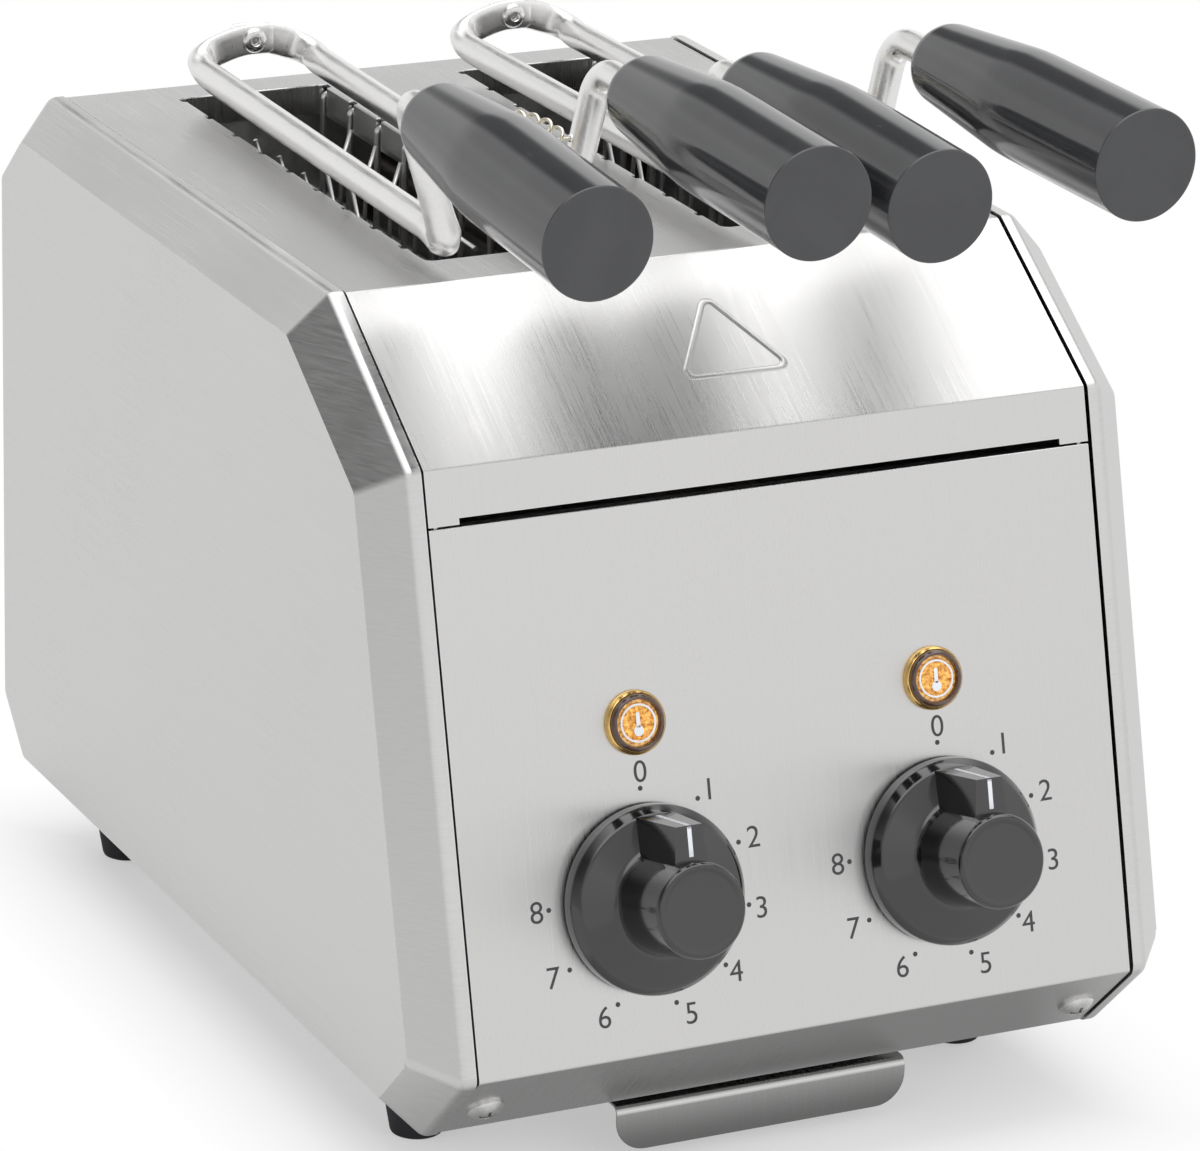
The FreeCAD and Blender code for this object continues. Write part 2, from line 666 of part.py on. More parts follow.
def hexagon(half_flats, height):
    reach = half_flats / math.cos(math.radians(30))
    points = []
    for corner in range(7):
        angle = math.radians(60 * corner)
        points.append(Vector(reach * math.cos(angle), reach * math.sin(angle), 0))
    return Part.Face(Part.makePolygon(points)).extrude(Vector(0, 0, height))


def make_tray():
    front = at_depth(TRAY_FRONT_DEPTH)
    rear = at_depth(TRAY_REAR_DEPTH)
    width = TRAY_HALF_WIDTH
    top = TRAY_FLOOR_HEIGHT
    sheet = TRAY_SHEET
    pull_end = front + 22
    floor = box(-width, width, pull_end, rear, top - sheet, top)
    neck = box(-TAB_HALF_WIDTH, TAB_HALF_WIDTH, front + TAB_BEND, pull_end, top - sheet, top)
    walls = [
        box(-width, -width + sheet, pull_end, rear, top - sheet, TRAY_RIM_HEIGHT),
        box(width - sheet, width, pull_end, rear, top - sheet, TRAY_RIM_HEIGHT),
        box(-width, width, rear - sheet, rear, top - sheet, TRAY_RIM_HEIGHT)]
    bend_y = front + TAB_BEND
    bend_z = top - TAB_BEND
    outer = Part.makeCylinder(TAB_BEND, 2 * TAB_HALF_WIDTH, Vector(-TAB_HALF_WIDTH, bend_y, bend_z),
                              Vector(1, 0, 0))
    inner = Part.makeCylinder(TAB_BEND - sheet, 2 * TAB_HALF_WIDTH + 2,
                              Vector(-TAB_HALF_WIDTH - 1, bend_y, bend_z), Vector(1, 0, 0))
    quarter = box(-TAB_HALF_WIDTH, TAB_HALF_WIDTH, front, bend_y, bend_z, top)
    bend = outer.cut(inner).common(quarter)
    pull = box(-TAB_HALF_WIDTH, TAB_HALF_WIDTH, front, front + sheet, TAB_FOOT_HEIGHT, bend_z)
    corners = [edge for edge in pull.Edges
               if abs(edge.tangentAt(0).y) > 0.9 and edge.CenterOfMass.z < TAB_FOOT_HEIGHT + 1]
    pull = pull.makeFillet(TAB_CORNER, corners)
    write("crumb_tray", joined([floor, neck, bend, pull] + walls))


def make_tray_rails():
    inner = TRAY_HALF_WIDTH + RAIL_GAP
    front = at_depth(RAIL_FRONT_DEPTH)
    rear = at_depth(TRAY_REAR_DEPTH) + 2
    lip = TRAY_FLOOR_HEIGHT - TRAY_SHEET - 0.3
    wall = box(inner, inner + RAIL_SHEET, front, rear, lip - RAIL_SHEET, UNDERSIDE)
    ledge = box(inner - 5, inner + RAIL_SHEET, front, rear, lip - RAIL_SHEET, lip)
    flange = box(inner, inner + 3.0, front, rear, UNDERSIDE - RAIL_SHEET, UNDERSIDE)
    rail = joined([wall, ledge, flange])
    rails = [rail, mirror_x(rail)]
    write("tray_rails", Part.makeCompound(rails))


def make_partitions():
    bush_holes = []
    for x in heater_planes():
        for height in (HEATER_HEIGHTS[0], HEATER_HEIGHTS[-1]):
            bush_holes.append((x, height))
    for name, depth in (("front_partition", PARTITION_FRONT_DEPTH),
                        ("rear_partition", PARTITION_REAR_DEPTH)):
        low = at_depth(depth)
        plate = box(-SIDE_PLATE_X, SIDE_PLATE_X, low, low + SHEET, BASE_TOP, ROOF_INSIDE)
        for x in (-WIRE_CHANNEL_X, WIRE_CHANNEL_X):
            spot = Vector(x, low - 5, WIRE_HEIGHT)
            plate = plate.cut(Part.makeCylinder(WIRE_HOLE_RADIUS, 10, spot, Vector(0, 1, 0)))
        if name == "front_partition":
            for x, height in bush_holes:
                spot = Vector(x, low - 5, height)
                plate = plate.cut(Part.makeCylinder(BUSH_HOLE_RADIUS, 10, spot, Vector(0, 1, 0)))
        write(name, plate)
    bushes = []
    for x, height in bush_holes:
        profile = [(HEATER_RADIUS, -6), (BUSH_FLANGE_RADIUS, -6), (BUSH_FLANGE_RADIUS, 0),
                   (BUSH_HOLE_RADIUS, 0), (BUSH_HOLE_RADIUS, 5), (HEATER_RADIUS, 5)]
        spot = Vector(x, at_depth(PARTITION_FRONT_DEPTH), height)
        bushes.append(revolved(profile, spot, Vector(0, 1, 0)))
    write("heater_bushes", Part.makeCompound(bushes))


def heater_planes():
    return (-HEATER_OUTER_X, -HEATER_INNER_X, HEATER_INNER_X, HEATER_OUTER_X)


def make_heaters():
    names = ("heater_left_outer", "heater_left_inner", "heater_right_inner", "heater_right_outer")
    rear = at_depth(HEATER_REAR_DEPTH)
    front = at_depth(HEATER_FRONT_DEPTH)
    tail = at_depth(HEATER_TAIL_DEPTH)
    bend = (HEATER_HEIGHTS[1] - HEATER_HEIGHTS[0]) / 2 - 1
    for name, x in zip(names, heater_planes()):
        points = [Vector(x, tail, HEATER_HEIGHTS[0])]
        for run, height in enumerate(HEATER_HEIGHTS[:-1]):
            turn = rear if run % 2 == 0 else front
            points.append(Vector(x, turn, height))
            points.append(Vector(x, turn, HEATER_HEIGHTS[run + 1]))
        points.append(Vector(x, tail, HEATER_HEIGHTS[-1]))
        tube = bent_tube(points, bend, HEATER_RADIUS)
        pins = []
        for height in (HEATER_HEIGHTS[0], HEATER_HEIGHTS[-1]):
            pins.append(Part.makeCylinder(1.5, 12, Vector(x, tail - 11, height), Vector(0, 1, 0)))
        write(name, joined([tube] + pins))


def make_reflectors():
    low = at_depth(PARTITION_FRONT_DEPTH) + SHEET
    high = at_depth(PARTITION_REAR_DEPTH)
    half = REFLECTOR_SHEET / 2
    planes = (("reflector_left", -REFLECTOR_OUTER_X), ("reflector_centre", 0.0),
              ("reflector_right", REFLECTOR_OUTER_X))
    for name, x in planes:
        sheet = box(x - half, x + half, low, high, BASE_TOP, ROOF_INSIDE - 4)
        foot_room = box(x - 1, x + 1, at_depth(FOOT_REAR_DEPTH) - 6, high + 1, 0, BASE_TOP + 8)
        write(name, sheet.cut(foot_room))
    supports = []
    for side in (-1, 1):
        spans = ((half, HEATER_INNER_X + 4.8), (HEATER_OUTER_X - 4.8, REFLECTOR_OUTER_X - half))
        for x_plane, span in zip((HEATER_INNER_X, HEATER_OUTER_X), spans):
            for depth in SUPPORT_DEPTHS:
                y = at_depth(depth)
                x_pair = sorted((side * span[0], side * span[1]))
                strip = box(x_pair[0], x_pair[1], y, y + SHEET, SUPPORT_LOW, SUPPORT_HIGH)
                for height in HEATER_HEIGHTS:
                    spot = Vector(side * x_plane, y - 2, height)
                    strip = strip.cut(Part.makeCylinder(HEATER_RADIUS, 5, spot, Vector(0, 1, 0)))
                supports.append(strip)
    write("heater_supports", Part.makeCompound(supports))


def make_guards():
    """Upright wires along both sides of each slot, hooked over its rim, on two straight rails."""
    first_y = at_depth(PARTITION_FRONT_DEPTH) + SHEET
    last_y = at_depth(PARTITION_REAR_DEPTH)
    rail_step = GUARD_WIRE_RADIUS + GUARD_RAIL_RADIUS - 0.2
    planes = (("guard_left_outer", -SLOT_CENTRE_X - GUARD_OFFSET, -1),
              ("guard_left_inner", -SLOT_CENTRE_X + GUARD_OFFSET, 1),
              ("guard_right_inner", SLOT_CENTRE_X - GUARD_OFFSET, -1),
              ("guard_right_outer", SLOT_CENTRE_X + GUARD_OFFSET, 1))
    for name, x, outward in planes:
        parts = []
        for height in GUARD_RAIL_HEIGHTS:
            rail_x = x + outward * rail_step
            parts.append(rod(Vector(rail_x, first_y, height), Vector(rail_x, last_y, height),
                             GUARD_RAIL_RADIUS))
        hook_x = x + outward * GUARD_HOOK_REACH
        for depth in guard_depths():
            y = at_depth(depth)
            points = [Vector(x, y, GUARD_BOTTOM), Vector(x, y, GUARD_TOP),
                      Vector(hook_x, y, GUARD_TOP), Vector(hook_x, y, GUARD_TOP - GUARD_HOOK_DROP)]
            parts.append(bent_tube(points, 1.5, GUARD_WIRE_RADIUS))
        write(name, joined(parts))
    wires = []
    for side in (-1, 1):
        middle = side * SLOT_CENTRE_X
        reach = GUARD_OFFSET + rail_step
        height = GUARD_RAIL_HEIGHTS[0] + 2 * GUARD_RAIL_RADIUS
        for depth in CROSS_WIRE_DEPTHS:
            y = at_depth(depth)
            wires.append(rod(Vector(middle - reach, y, height), Vector(middle + reach, y, height),
                             GUARD_RAIL_RADIUS))
    write("slot_cross_wires", Part.makeCompound(wires))


def make_controls():
    for side, word in ((-1, "left"), (1, "right")):
        x = side * DIAL_X
        write("regulator_" + word, on_panel(regulator_shape(), x, DIAL_UP))
        shaft = Part.makeCylinder(SHAFT_DIAMETER / 2, 50, Vector(0, 0, -29)).cut(shaft_flat())
        write("regulator_shaft_" + word, on_panel(shaft, x, DIAL_UP))
        write("knob_" + word, on_panel(knob_shape(), x, DIAL_UP))


def shaft_flat():
    """The room beside the flat of a shaft, from just above the panel outwards."""
    return box(-5, 5, 1.6, 5, 3, 30)


def regulator_shape():
    """Body with its threaded bush, mounting plate and two blades, behind the panel."""
    half = REGULATOR_HALF_WIDTH
    behind = -SHEET - 2.6
    body = box(-half, half, -half, half, -REGULATOR_DEPTH, behind + 0.1)
    body = body.makeFillet(3, [edge for edge in body.Edges if abs(edge.tangentAt(0).z) > 0.9])
    bush = Part.makeCylinder(BUSH_DIAMETER / 2, -behind, Vector(0, 0, behind))
    plate = box(-12, 12, -12, 12, behind, -SHEET)
    blades = []
    for row in (-BLADE_OFFSET, BLADE_OFFSET):
        blades.append(box(-3, 3, row - 0.4, row + 0.4, -BLADE_END, -REGULATOR_DEPTH + 1))
    bore = Part.makeCylinder(SHAFT_DIAMETER / 2 + 0.05, 30, Vector(0, 0, -30))
    return joined([body, bush, plate] + blades).cut(bore)


def make_lamps():
    bezel = [(LAMP_LENS_DIAMETER / 2, -1), (LAMP_LENS_DIAMETER / 2, 3.4), (7.0, 3.4),
             (LAMP_BEZEL_DIAMETER / 2, 1.6), (LAMP_BEZEL_DIAMETER / 2, 0),
             (LAMP_BODY_DIAMETER / 2, 0), (LAMP_BODY_DIAMETER / 2, -20), (4.0, -20), (4.0, -1)]
    lens = [(0, -1), (LAMP_LENS_DIAMETER / 2, -1), (LAMP_LENS_DIAMETER / 2, 2.6), (4.6, 3.3),
            (0, 3.6)]
    for name, profile in (("lamp_bodies", bezel), ("lamp_lenses", lens)):
        shape = revolved(profile, Vector(0, 0, 0), Vector(0, 0, 1))
        pair = [on_panel(shape, side * DIAL_X, LAMP_UP) for side in (-1, 1)]
        write(name, Part.makeCompound(pair))


def knob_shape():
    low = KNOB_GAP
    turned = [(0, low), (KNOB_SKIRT_RADIUS, low), (KNOB_SKIRT_RADIUS, KNOB_RIM_HEIGHT),
              (KNOB_RIM_RADIUS, KNOB_SHOULDER_HEIGHT),
              (KNOB_BOSS_BASE_RADIUS, KNOB_BOSS_BASE_HEIGHT),
              (KNOB_BOSS_RADIUS, KNOB_HEIGHT - 0.8), (KNOB_BOSS_RADIUS - 0.8, KNOB_HEIGHT),
              (0, KNOB_HEIGHT)]
    knob = revolved(turned, Vector(0, 0, 0), Vector(0, 0, 1))
    bottom = [Vector(-8.2, 0, low + 2), Vector(8.2, 0, low + 2),
              Vector(6.0, POINTER_REACH + 1.0, low + 2), Vector(-6.0, POINTER_REACH + 1.0, low + 2)]
    top = [Vector(-6.2, 0, POINTER_HEIGHT), Vector(6.2, 0, POINTER_HEIGHT),
           Vector(3.9, POINTER_REACH, POINTER_HEIGHT), Vector(-3.9, POINTER_REACH, POINTER_HEIGHT)]
    wires = [Part.makePolygon(points + points[:1]) for points in (bottom, top)]
    pointer = Part.makeLoft(wires, True, True)
    bore = Part.makeCylinder(SHAFT_DIAMETER / 2, 21.0)
    return joined([knob, pointer]).cut(bore.cut(shaft_flat()))


def make_inlet():
    slope = (WRAPPER_INSIDE[7][0] - WRAPPER_INSIDE[6][0])
    slope = slope / (WRAPPER_INSIDE[7][1] - WRAPPER_INSIDE[6][1])
    face_y = WRAPPER_OUTSIDE[6][0] + slope * (GLAND_HEIGHT - WRAPPER_OUTSIDE[6][1])
    bore = GLAND_BORE_RADIUS
    body = [(bore, -14), (GLAND_THREAD_RADIUS, -14), (GLAND_THREAD_RADIUS, 0.4), (11, 0.4), (11, 6),
            (9.4, 6), (9.4, 15), (7.0, GLAND_END_Y - face_y), (bore, GLAND_END_Y - face_y)]
    write("cable_gland", revolved(body, Vector(GLAND_X, face_y, GLAND_HEIGHT), Vector(0, 1, 0)))
    nut = hexagon(11.0, 5.0).cut(Part.makeCylinder(GLAND_THREAD_RADIUS, 12, Vector(0, 0, -2)))
    nut.Placement = FreeCAD.Placement(Vector(GLAND_X, face_y - SHEET - 1.2, GLAND_HEIGHT),
                                      FreeCAD.Rotation(Vector(0, 0, 1), Vector(0, -1, 0)))
    write("gland_nut", nut)
    front = at_depth(PARTITION_REAR_DEPTH) + SHEET
    block = box(BLOCK_LEFT, BLOCK_RIGHT, front, BLOCK_REAR_Y, BLOCK_LOW, BLOCK_HIGH)
    first_pole = (BLOCK_LEFT + BLOCK_RIGHT - BLOCK_PITCH * (BLOCK_POLES - 1)) / 2
    for pole in range(BLOCK_POLES):
        spot = Vector(first_pole + BLOCK_PITCH * pole, (front + BLOCK_REAR_Y) / 2, BLOCK_HIGH - 7)
        block = block.cut(Part.makeCylinder(2.6, 9, spot))
    write("terminal_block", block)


def seat_tong(shape, side, word):
    """Put a tong built about X = 0 into its slot."""
    shape = shape.copy()
    shape.rotate(Vector(0, at_depth(TONG_TURN_DEPTH), 0), Vector(0, 0, 1), TONG_TURNS[word])
    shape.translate(Vector(side * SLOT_CENTRE_X + TONG_SHIFTS[word], 0, 0))
    return shape


def handle_axis(hand):
    """Front and rear end of a handle's axis. hand is -1 for the left arm of a tong."""
    front = Vector(hand * HANDLE_FRONT_OFFSET, at_depth(HANDLE_FRONT_DEPTH),
                   HANDLE_FRONT_HEIGHT + hand * HANDLE_FRONT_SKEW)
    rear = Vector(hand * HANDLE_REAR_OFFSET, at_depth(HANDLE_REAR_DEPTH),
                  HANDLE_REAR_HEIGHT + hand * HANDLE_REAR_SKEW)
    return front, rear


def rod_top(hand):
    """Where the sloping rod of an arm meets the line of its handle."""
    front, rear = handle_axis(hand)
    share = (elbow_point(hand).y + ROD_LEAN - front.y) / (rear.y - front.y)
    return front + (rear - front) * share


def elbow_point(hand):
    """Middle of the squashed bend at the front end of a bar. The left arm reaches further."""
    return Vector(hand * ARM_OFFSET, at_depth(ARM_FRONT_DEPTH) + hand * ARM_SKEW,
                  ARM_HEIGHT - ELBOW_DROP)


def flattened_corner(hand, x, corner_y):
    """The bend behind the bar, where its round section flattens into the band.

    It starts just inside the bar and ends inside the band, a little slimmer than each."""
    sections = []
    for step_along in range(CORNER_SECTIONS + 1):
        share = step_along / CORNER_SECTIONS
        angle = math.radians(90 * share)
        centre = Vector(x - hand * BAND_BEND * (1 - math.cos(angle)),
                        corner_y + BAND_BEND * math.sin(angle) - CORNER_OVERLAP * (1 - share),
                        ARM_HEIGHT)
        across = Vector(hand * math.cos(angle), math.sin(angle), 0)
        bar_radius = ARM_RADIUS - CORNER_SLACK
        width = bar_radius + (STRIP_THICKNESS / 2 - CORNER_SLACK - bar_radius) * share
        height = bar_radius + (STRIP_HALF_HEIGHT - CORNER_SLACK - bar_radius) * share
        ring = []
        for step in range(12):
            turn = math.radians(30 * step)
            ring.append(centre + across * (width * math.cos(turn))
                        + Vector(0, 0, height * math.sin(turn)))
        curve = Part.BSplineCurve()
        curve.interpolate(Points=ring, PeriodicFlag=True)
        sections.append(Part.Wire([curve.toShape()]))
    return Part.makeLoft(sections, True, False)


def arm_shape(hand):
    """Bar with its elbow, rod and flattened rear band. hand is -1 for the left arm."""
    layer = STRIP_THICKNESS / 2 + STRIP_GAP / 2
    middle_y = at_depth(ARM_REAR_DEPTH) + BAND_BEND
    band_y = middle_y + hand * layer
    x = hand * ARM_OFFSET
    corner_y = band_y - BAND_BEND
    front, rear = handle_axis(hand)
    grip_end = rear + (front - rear).normalize() * HANDLE_BORE_DEPTH
    elbow = elbow_point(hand)
    top = rod_top(hand)
    bar = rod(Vector(x, elbow.y, ARM_HEIGHT), Vector(x, corner_y, ARM_HEIGHT), ARM_RADIUS)
    knuckle = Part.makeSphere(ELBOW_RADIUS, elbow)
    upright = bent_tube([elbow, top, grip_end], SHOULDER_BEND, ARM_RADIUS)
    corner = flattened_corner(hand, x, corner_y)
    strip = strip_face(hand).extrude(Vector(0, STRIP_THICKNESS, 0))
    strip.translate(Vector(0, band_y - STRIP_THICKNESS / 2, 0))
    hole = Part.makeCylinder(PIVOT_DIAMETER / 2 + PIVOT_CLEARANCE, 20,
                             Vector(0, band_y - 10, PIVOT_HEIGHT), Vector(0, 1, 0))
    spring_end = spring_point((1 + hand) / 2)[0] + Vector(0, spring_plane_y(), 0)
    spring_end.x = hand * SPRING_SEAT_X
    on_rod = elbow + (top - elbow) * ((spring_end.z - elbow.z) / (top.z - elbow.z))
    seat = rod(spring_end, on_rod, SPRING_SEAT_RADIUS)
    return joined([bar, knuckle, upright, corner, strip, seat]).cut(hole)


def strip_face(hand):
    """The flattened band seen from the front: an arch from the bar to just past the pivot."""
    start = hand * (ARM_OFFSET - BAND_BEND + 0.8)
    half = STRIP_HALF_HEIGHT
    quarter = start * 0.55
    end = -hand * STRIP_PAST_PIVOT
    rise = PIVOT_HEIGHT - ARM_HEIGHT
    top = [Vector(start, 0, ARM_HEIGHT + half), Vector(quarter, 0, ARM_HEIGHT + half + rise * 0.76),
           Vector(0, 0, PIVOT_HEIGHT + half)]
    low = [Vector(0, 0, PIVOT_HEIGHT - half), Vector(quarter, 0, ARM_HEIGHT - half + rise * 0.76),
           Vector(start, 0, ARM_HEIGHT - half)]
    corner_high = Vector(end, 0, PIVOT_HEIGHT + half - 0.4)
    corner_low = Vector(end, 0, PIVOT_HEIGHT - half + 0.4)
    edges = [
        Part.Arc(top[0], top[1], top[2]).toShape(),
        Part.LineSegment(top[2], corner_high).toShape(),
        Part.LineSegment(corner_high, corner_low).toShape(),
        Part.LineSegment(corner_low, low[0]).toShape(),
        Part.Arc(low[0], low[1], low[2]).toShape(),
        Part.LineSegment(low[2], top[0]).toShape()]
    return Part.Face(Part.Wire(edges))


def handle_shape(hand):
    front, rear = handle_axis(hand)
    length = (rear - front).Length
    taper = HANDLE_TAPER_DEPTH - HANDLE_FRONT_DEPTH
    bore_start = length - HANDLE_BORE_DEPTH
    profile = [(0, 0), (HANDLE_RADIUS - 0.5, 0), (HANDLE_RADIUS, 0.5), (HANDLE_RADIUS, taper),
               (HANDLE_REAR_RADIUS, length - 2), (HANDLE_REAR_RADIUS - 2, length),
               (ARM_RADIUS, length), (ARM_RADIUS, bore_start), (0, bore_start)]
    return revolved(profile, front, rear - front)


def cage_x(hand, height):
    """The grid leans, so its X depends on the height."""
    share = (height - CAGE_BOTTOM) / (CAGE_TOP - CAGE_BOTTOM)
    return hand * (CAGE_BOTTOM_OFFSET + (CAGE_TOP_OFFSET - CAGE_BOTTOM_OFFSET) * share)


def cage_point(hand, y, height):
    return Vector(cage_x(hand, height), y, height)


def cage_shape(hand, arm):
    """Leaning flat wire grid of one jaw; its first uprights reach up to the bar above it."""
    front = at_depth(CAGE_FRONT_DEPTH)
    rear = at_depth(CAGE_REAR_DEPTH)
    parts = []
    for rail in range(CAGE_RAILS):
        height = CAGE_BOTTOM + (CAGE_TOP - CAGE_BOTTOM) * rail / (CAGE_RAILS - 1)
        parts.append(rod(cage_point(hand, front, height), cage_point(hand, rear, height),
                         CAGE_RAIL_RADIUS))
    for wire in range(CAGE_WIRES):
        y = at_depth(CAGE_FIRST_WIRE_DEPTH + wire * CAGE_WIRE_PITCH)
        top = cage_point(hand, y, CAGE_TOP)
        parts.append(rod(cage_point(hand, y, CAGE_BOTTOM - CAGE_FOOT), top, CAGE_WIRE_RADIUS))
        tip = Vector(hand * CAGE_TIP_OFFSET, y, CAGE_TIP_HEIGHT)
        if wire < CAGE_HANGERS:
            tip = Vector(hand * HANGER_END_X, y, HANGER_END_HEIGHT)
        parts.append(rod(top, tip, CAGE_WIRE_RADIUS))
    return joined(parts).cut(arm)


def biarc(start, start_heading, end, end_heading):
    """Two arcs that leave one point and reach the other with the given headings."""
    chord = end - start
    both = start_heading + end_heading
    a = 2 * (start_heading.dot(end_heading) - 1)
    b = -2 * chord.dot(both)
    c = chord.dot(chord)
    reach = (-b - math.sqrt(b * b - 4 * a * c)) / (2 * a)
    first = start + start_heading * reach
    last = end - end_heading * reach
    joint = (first + last) * 0.5
    edges = []
    for low, corner, high in ((start, first, joint), (joint, last, end)):
        middle = (low + high) * 0.5
        half = (high - low).Length / 2
        bulge = (corner - middle).Length
        turn = 2 * math.atan2(bulge, half)
        sagitta = half * math.tan(turn / 4)
        top = middle + (corner - middle).normalize() * sagitta
        edges.append(Part.Arc(low, top, high).toShape())
    return edges


def spring_point(share):
    """Point and heading on the bowed coil; share runs from 0 at the left to 1 at the right."""
    half_angle = math.asin(SPRING_HALF_SPAN / SPRING_ARCH_RADIUS)
    length = 2 * half_angle * SPRING_ARCH_RADIUS
    angle = math.pi / 2 + half_angle * (1 - 2 * share)
    outward = Vector(math.cos(angle), 0, math.sin(angle))
    forward = Vector(math.sin(angle), 0, -math.cos(angle))
    centre = Vector(0, 0, SPRING_TOP - SPRING_ARCH_RADIUS) + outward * SPRING_ARCH_RADIUS
    turn = -math.pi / 2 - 2 * math.pi * SPRING_TURNS * share
    rate = -2 * math.pi * SPRING_TURNS / length
    radial = outward * math.cos(turn) + Vector(0, 1, 0) * math.sin(turn)
    around = outward * -math.sin(turn) + Vector(0, 1, 0) * math.cos(turn)
    point = centre + radial * SPRING_COIL_RADIUS
    pace = 1 + SPRING_COIL_RADIUS * math.cos(turn) / SPRING_ARCH_RADIUS
    heading = forward * pace + around * (SPRING_COIL_RADIUS * rate)
    return point, heading.normalize()


def spring_shape():
    """Bowed coil spring whose straight ends stand square on the seats of the two rods."""
    quarters = int(round(SPRING_TURNS * 4))
    lead = Vector(1, 0, 0)
    places = [spring_point(index / quarters) for index in range(quarters + 1)]
    first = Vector(-SPRING_SEAT_X + 2 * SPRING_WIRE_RADIUS, places[0][0].y, places[0][0].z)
    last = Vector(SPRING_SEAT_X - 2 * SPRING_WIRE_RADIUS, places[-1][0].y, places[-1][0].z)
    seat_first = Vector(-SPRING_SEAT_X, first.y, first.z)
    seat_last = Vector(SPRING_SEAT_X, last.y, last.z)
    edges = [Part.LineSegment(seat_first, first).toShape()]
    edges += biarc(first, lead, places[0][0], places[0][1])
    for here, there in zip(places[:-1], places[1:]):
        edges += biarc(here[0], here[1], there[0], there[1])
    edges += biarc(places[-1][0], places[-1][1], last, lead)
    edges.append(Part.LineSegment(last, seat_last).toShape())
    tightest = min(edge.Curve.Radius for edge in edges if hasattr(edge.Curve, "Radius"))
    points = [spring_point(index / 2000)[0] for index in range(2001)]
    turn_steps = int(2000 / SPRING_TURNS / 2)
    gap = min((points[i] - points[j]).Length
              for i in range(0, 2001, 4) for j in range(i + turn_steps, 2001, 4))
    print("spring: tightest bend", round(tightest, 2), "mm, least gap to itself",
          round(gap - 2 * SPRING_WIRE_RADIUS, 2), "mm")
    spring = tube_along(Part.Wire(edges), SPRING_WIRE_RADIUS)
    spring.translate(Vector(0, spring_plane_y(), 0))
    return spring


def spring_plane_y():
    """Y of the plane in which the spring bows, midway between the leaning rods at its ends."""
    elbow_z = ARM_HEIGHT - ELBOW_DROP
    share = (spring_point(0)[0].z - elbow_z) / (rod_top(1).z - elbow_z)
    return at_depth(ARM_FRONT_DEPTH) + ROD_LEAN * share


def panel_point(x, up, out):
    return PANEL_FOLD + PANEL_UP * up + PANEL_OUT * out + Vector(x, 0, 0)


def make_wiring():
    """Leads in the front compartment, and two supply leads along the sides of the oven."""
    pin_y = at_depth(HEATER_TAIL_DEPTH) - 11
    low, high = HEATER_HEIGHTS[0], HEATER_HEIGHTS[-1]
    wires = []
    for side in (-1, 1):
        x = side * DIAL_X
        for blade, pin_x in ((-BLADE_OFFSET, HEATER_OUTER_X), (BLADE_OFFSET, HEATER_INNER_X)):
            blade_end = panel_point(x, DIAL_UP + blade, -BLADE_END)
            points = [blade_end, blade_end - PANEL_OUT * 9,
                      Vector(side * pin_x, pin_y - 8, low), Vector(side * pin_x, pin_y, low)]
            wires.append(bent_tube(points, 3.0, WIRE_RADIUS))
        outer, inner = side * HEATER_OUTER_X, side * HEATER_INNER_X
        points = [Vector(outer, pin_y, high), Vector(outer, pin_y - 5, high),
                  Vector(inner, pin_y - 5, high), Vector(inner, pin_y, high)]
        wires.append(bent_tube(points, 3.5, WIRE_RADIUS))
        block_end = BLOCK_LEFT if side < 0 else BLOCK_RIGHT
        channel = side * WIRE_CHANNEL_X
        body = panel_point(x + side * 10, DIAL_UP - 12, -REGULATOR_DEPTH)
        points = [Vector(block_end, 143, WIRE_HEIGHT), Vector(channel, 143, WIRE_HEIGHT),
                  Vector(channel, body.y + 20, WIRE_HEIGHT), body - PANEL_OUT * 12, body]
        wires.append(bent_tube(points, 4.0, WIRE_RADIUS))
    write("internal_wiring", Part.makeCompound(wires))


def make_tongs():
    middle_y = at_depth(ARM_REAR_DEPTH) + BAND_BEND
    reach = STRIP_THICKNESS + STRIP_GAP / 2 + STRIP_GAP
    head = [(0, -reach - 1.6), (2.4, -reach - 1.6), (3.8, -reach - 0.8), (3.8, -reach),
            (PIVOT_DIAMETER / 2, -reach), (PIVOT_DIAMETER / 2, reach), (3.6, reach),
            (3.6, reach + 0.7), (2.2, reach + 1.3), (0, reach + 1.3)]
    rivet = revolved(head, Vector(0, middle_y, PIVOT_HEIGHT), Vector(0, 1, 0))
    spring = spring_shape()
    for side, word in ((-1, "left"), (1, "right")):
        tong = "tong_" + word
        write(tong + "_rivet", seat_tong(rivet, side, word))
        write(tong + "_spring", seat_tong(spring, side, word))
        for hand, arm_word in ((-1, "left"), (1, "right")):
            arm = arm_shape(hand)
            write(tong + "_arm_" + arm_word, seat_tong(arm, side, word))
            write(tong + "_cage_" + arm_word, seat_tong(cage_shape(hand, arm), side, word))
            write(tong + "_handle_" + arm_word, seat_tong(handle_shape(hand), side, word))


make_side_shells()
make_side_plates()
make_top_casing()
make_control_panel()
make_rear_panel()
make_casing_screws()
make_base_plate()
make_feet()
make_tray()
make_tray_rails()
make_partitions()
make_heaters()
make_reflectors()
make_guards()
make_controls()
make_lamps()
make_inlet()
make_wiring()
make_tongs()
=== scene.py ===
import json
import math

import bmesh
import bpy
from bpy.props import FloatProperty, FloatVectorProperty, IntProperty, PointerProperty
from bpy.types import Operator, Panel, PropertyGroup
from mathutils import Matrix, Vector

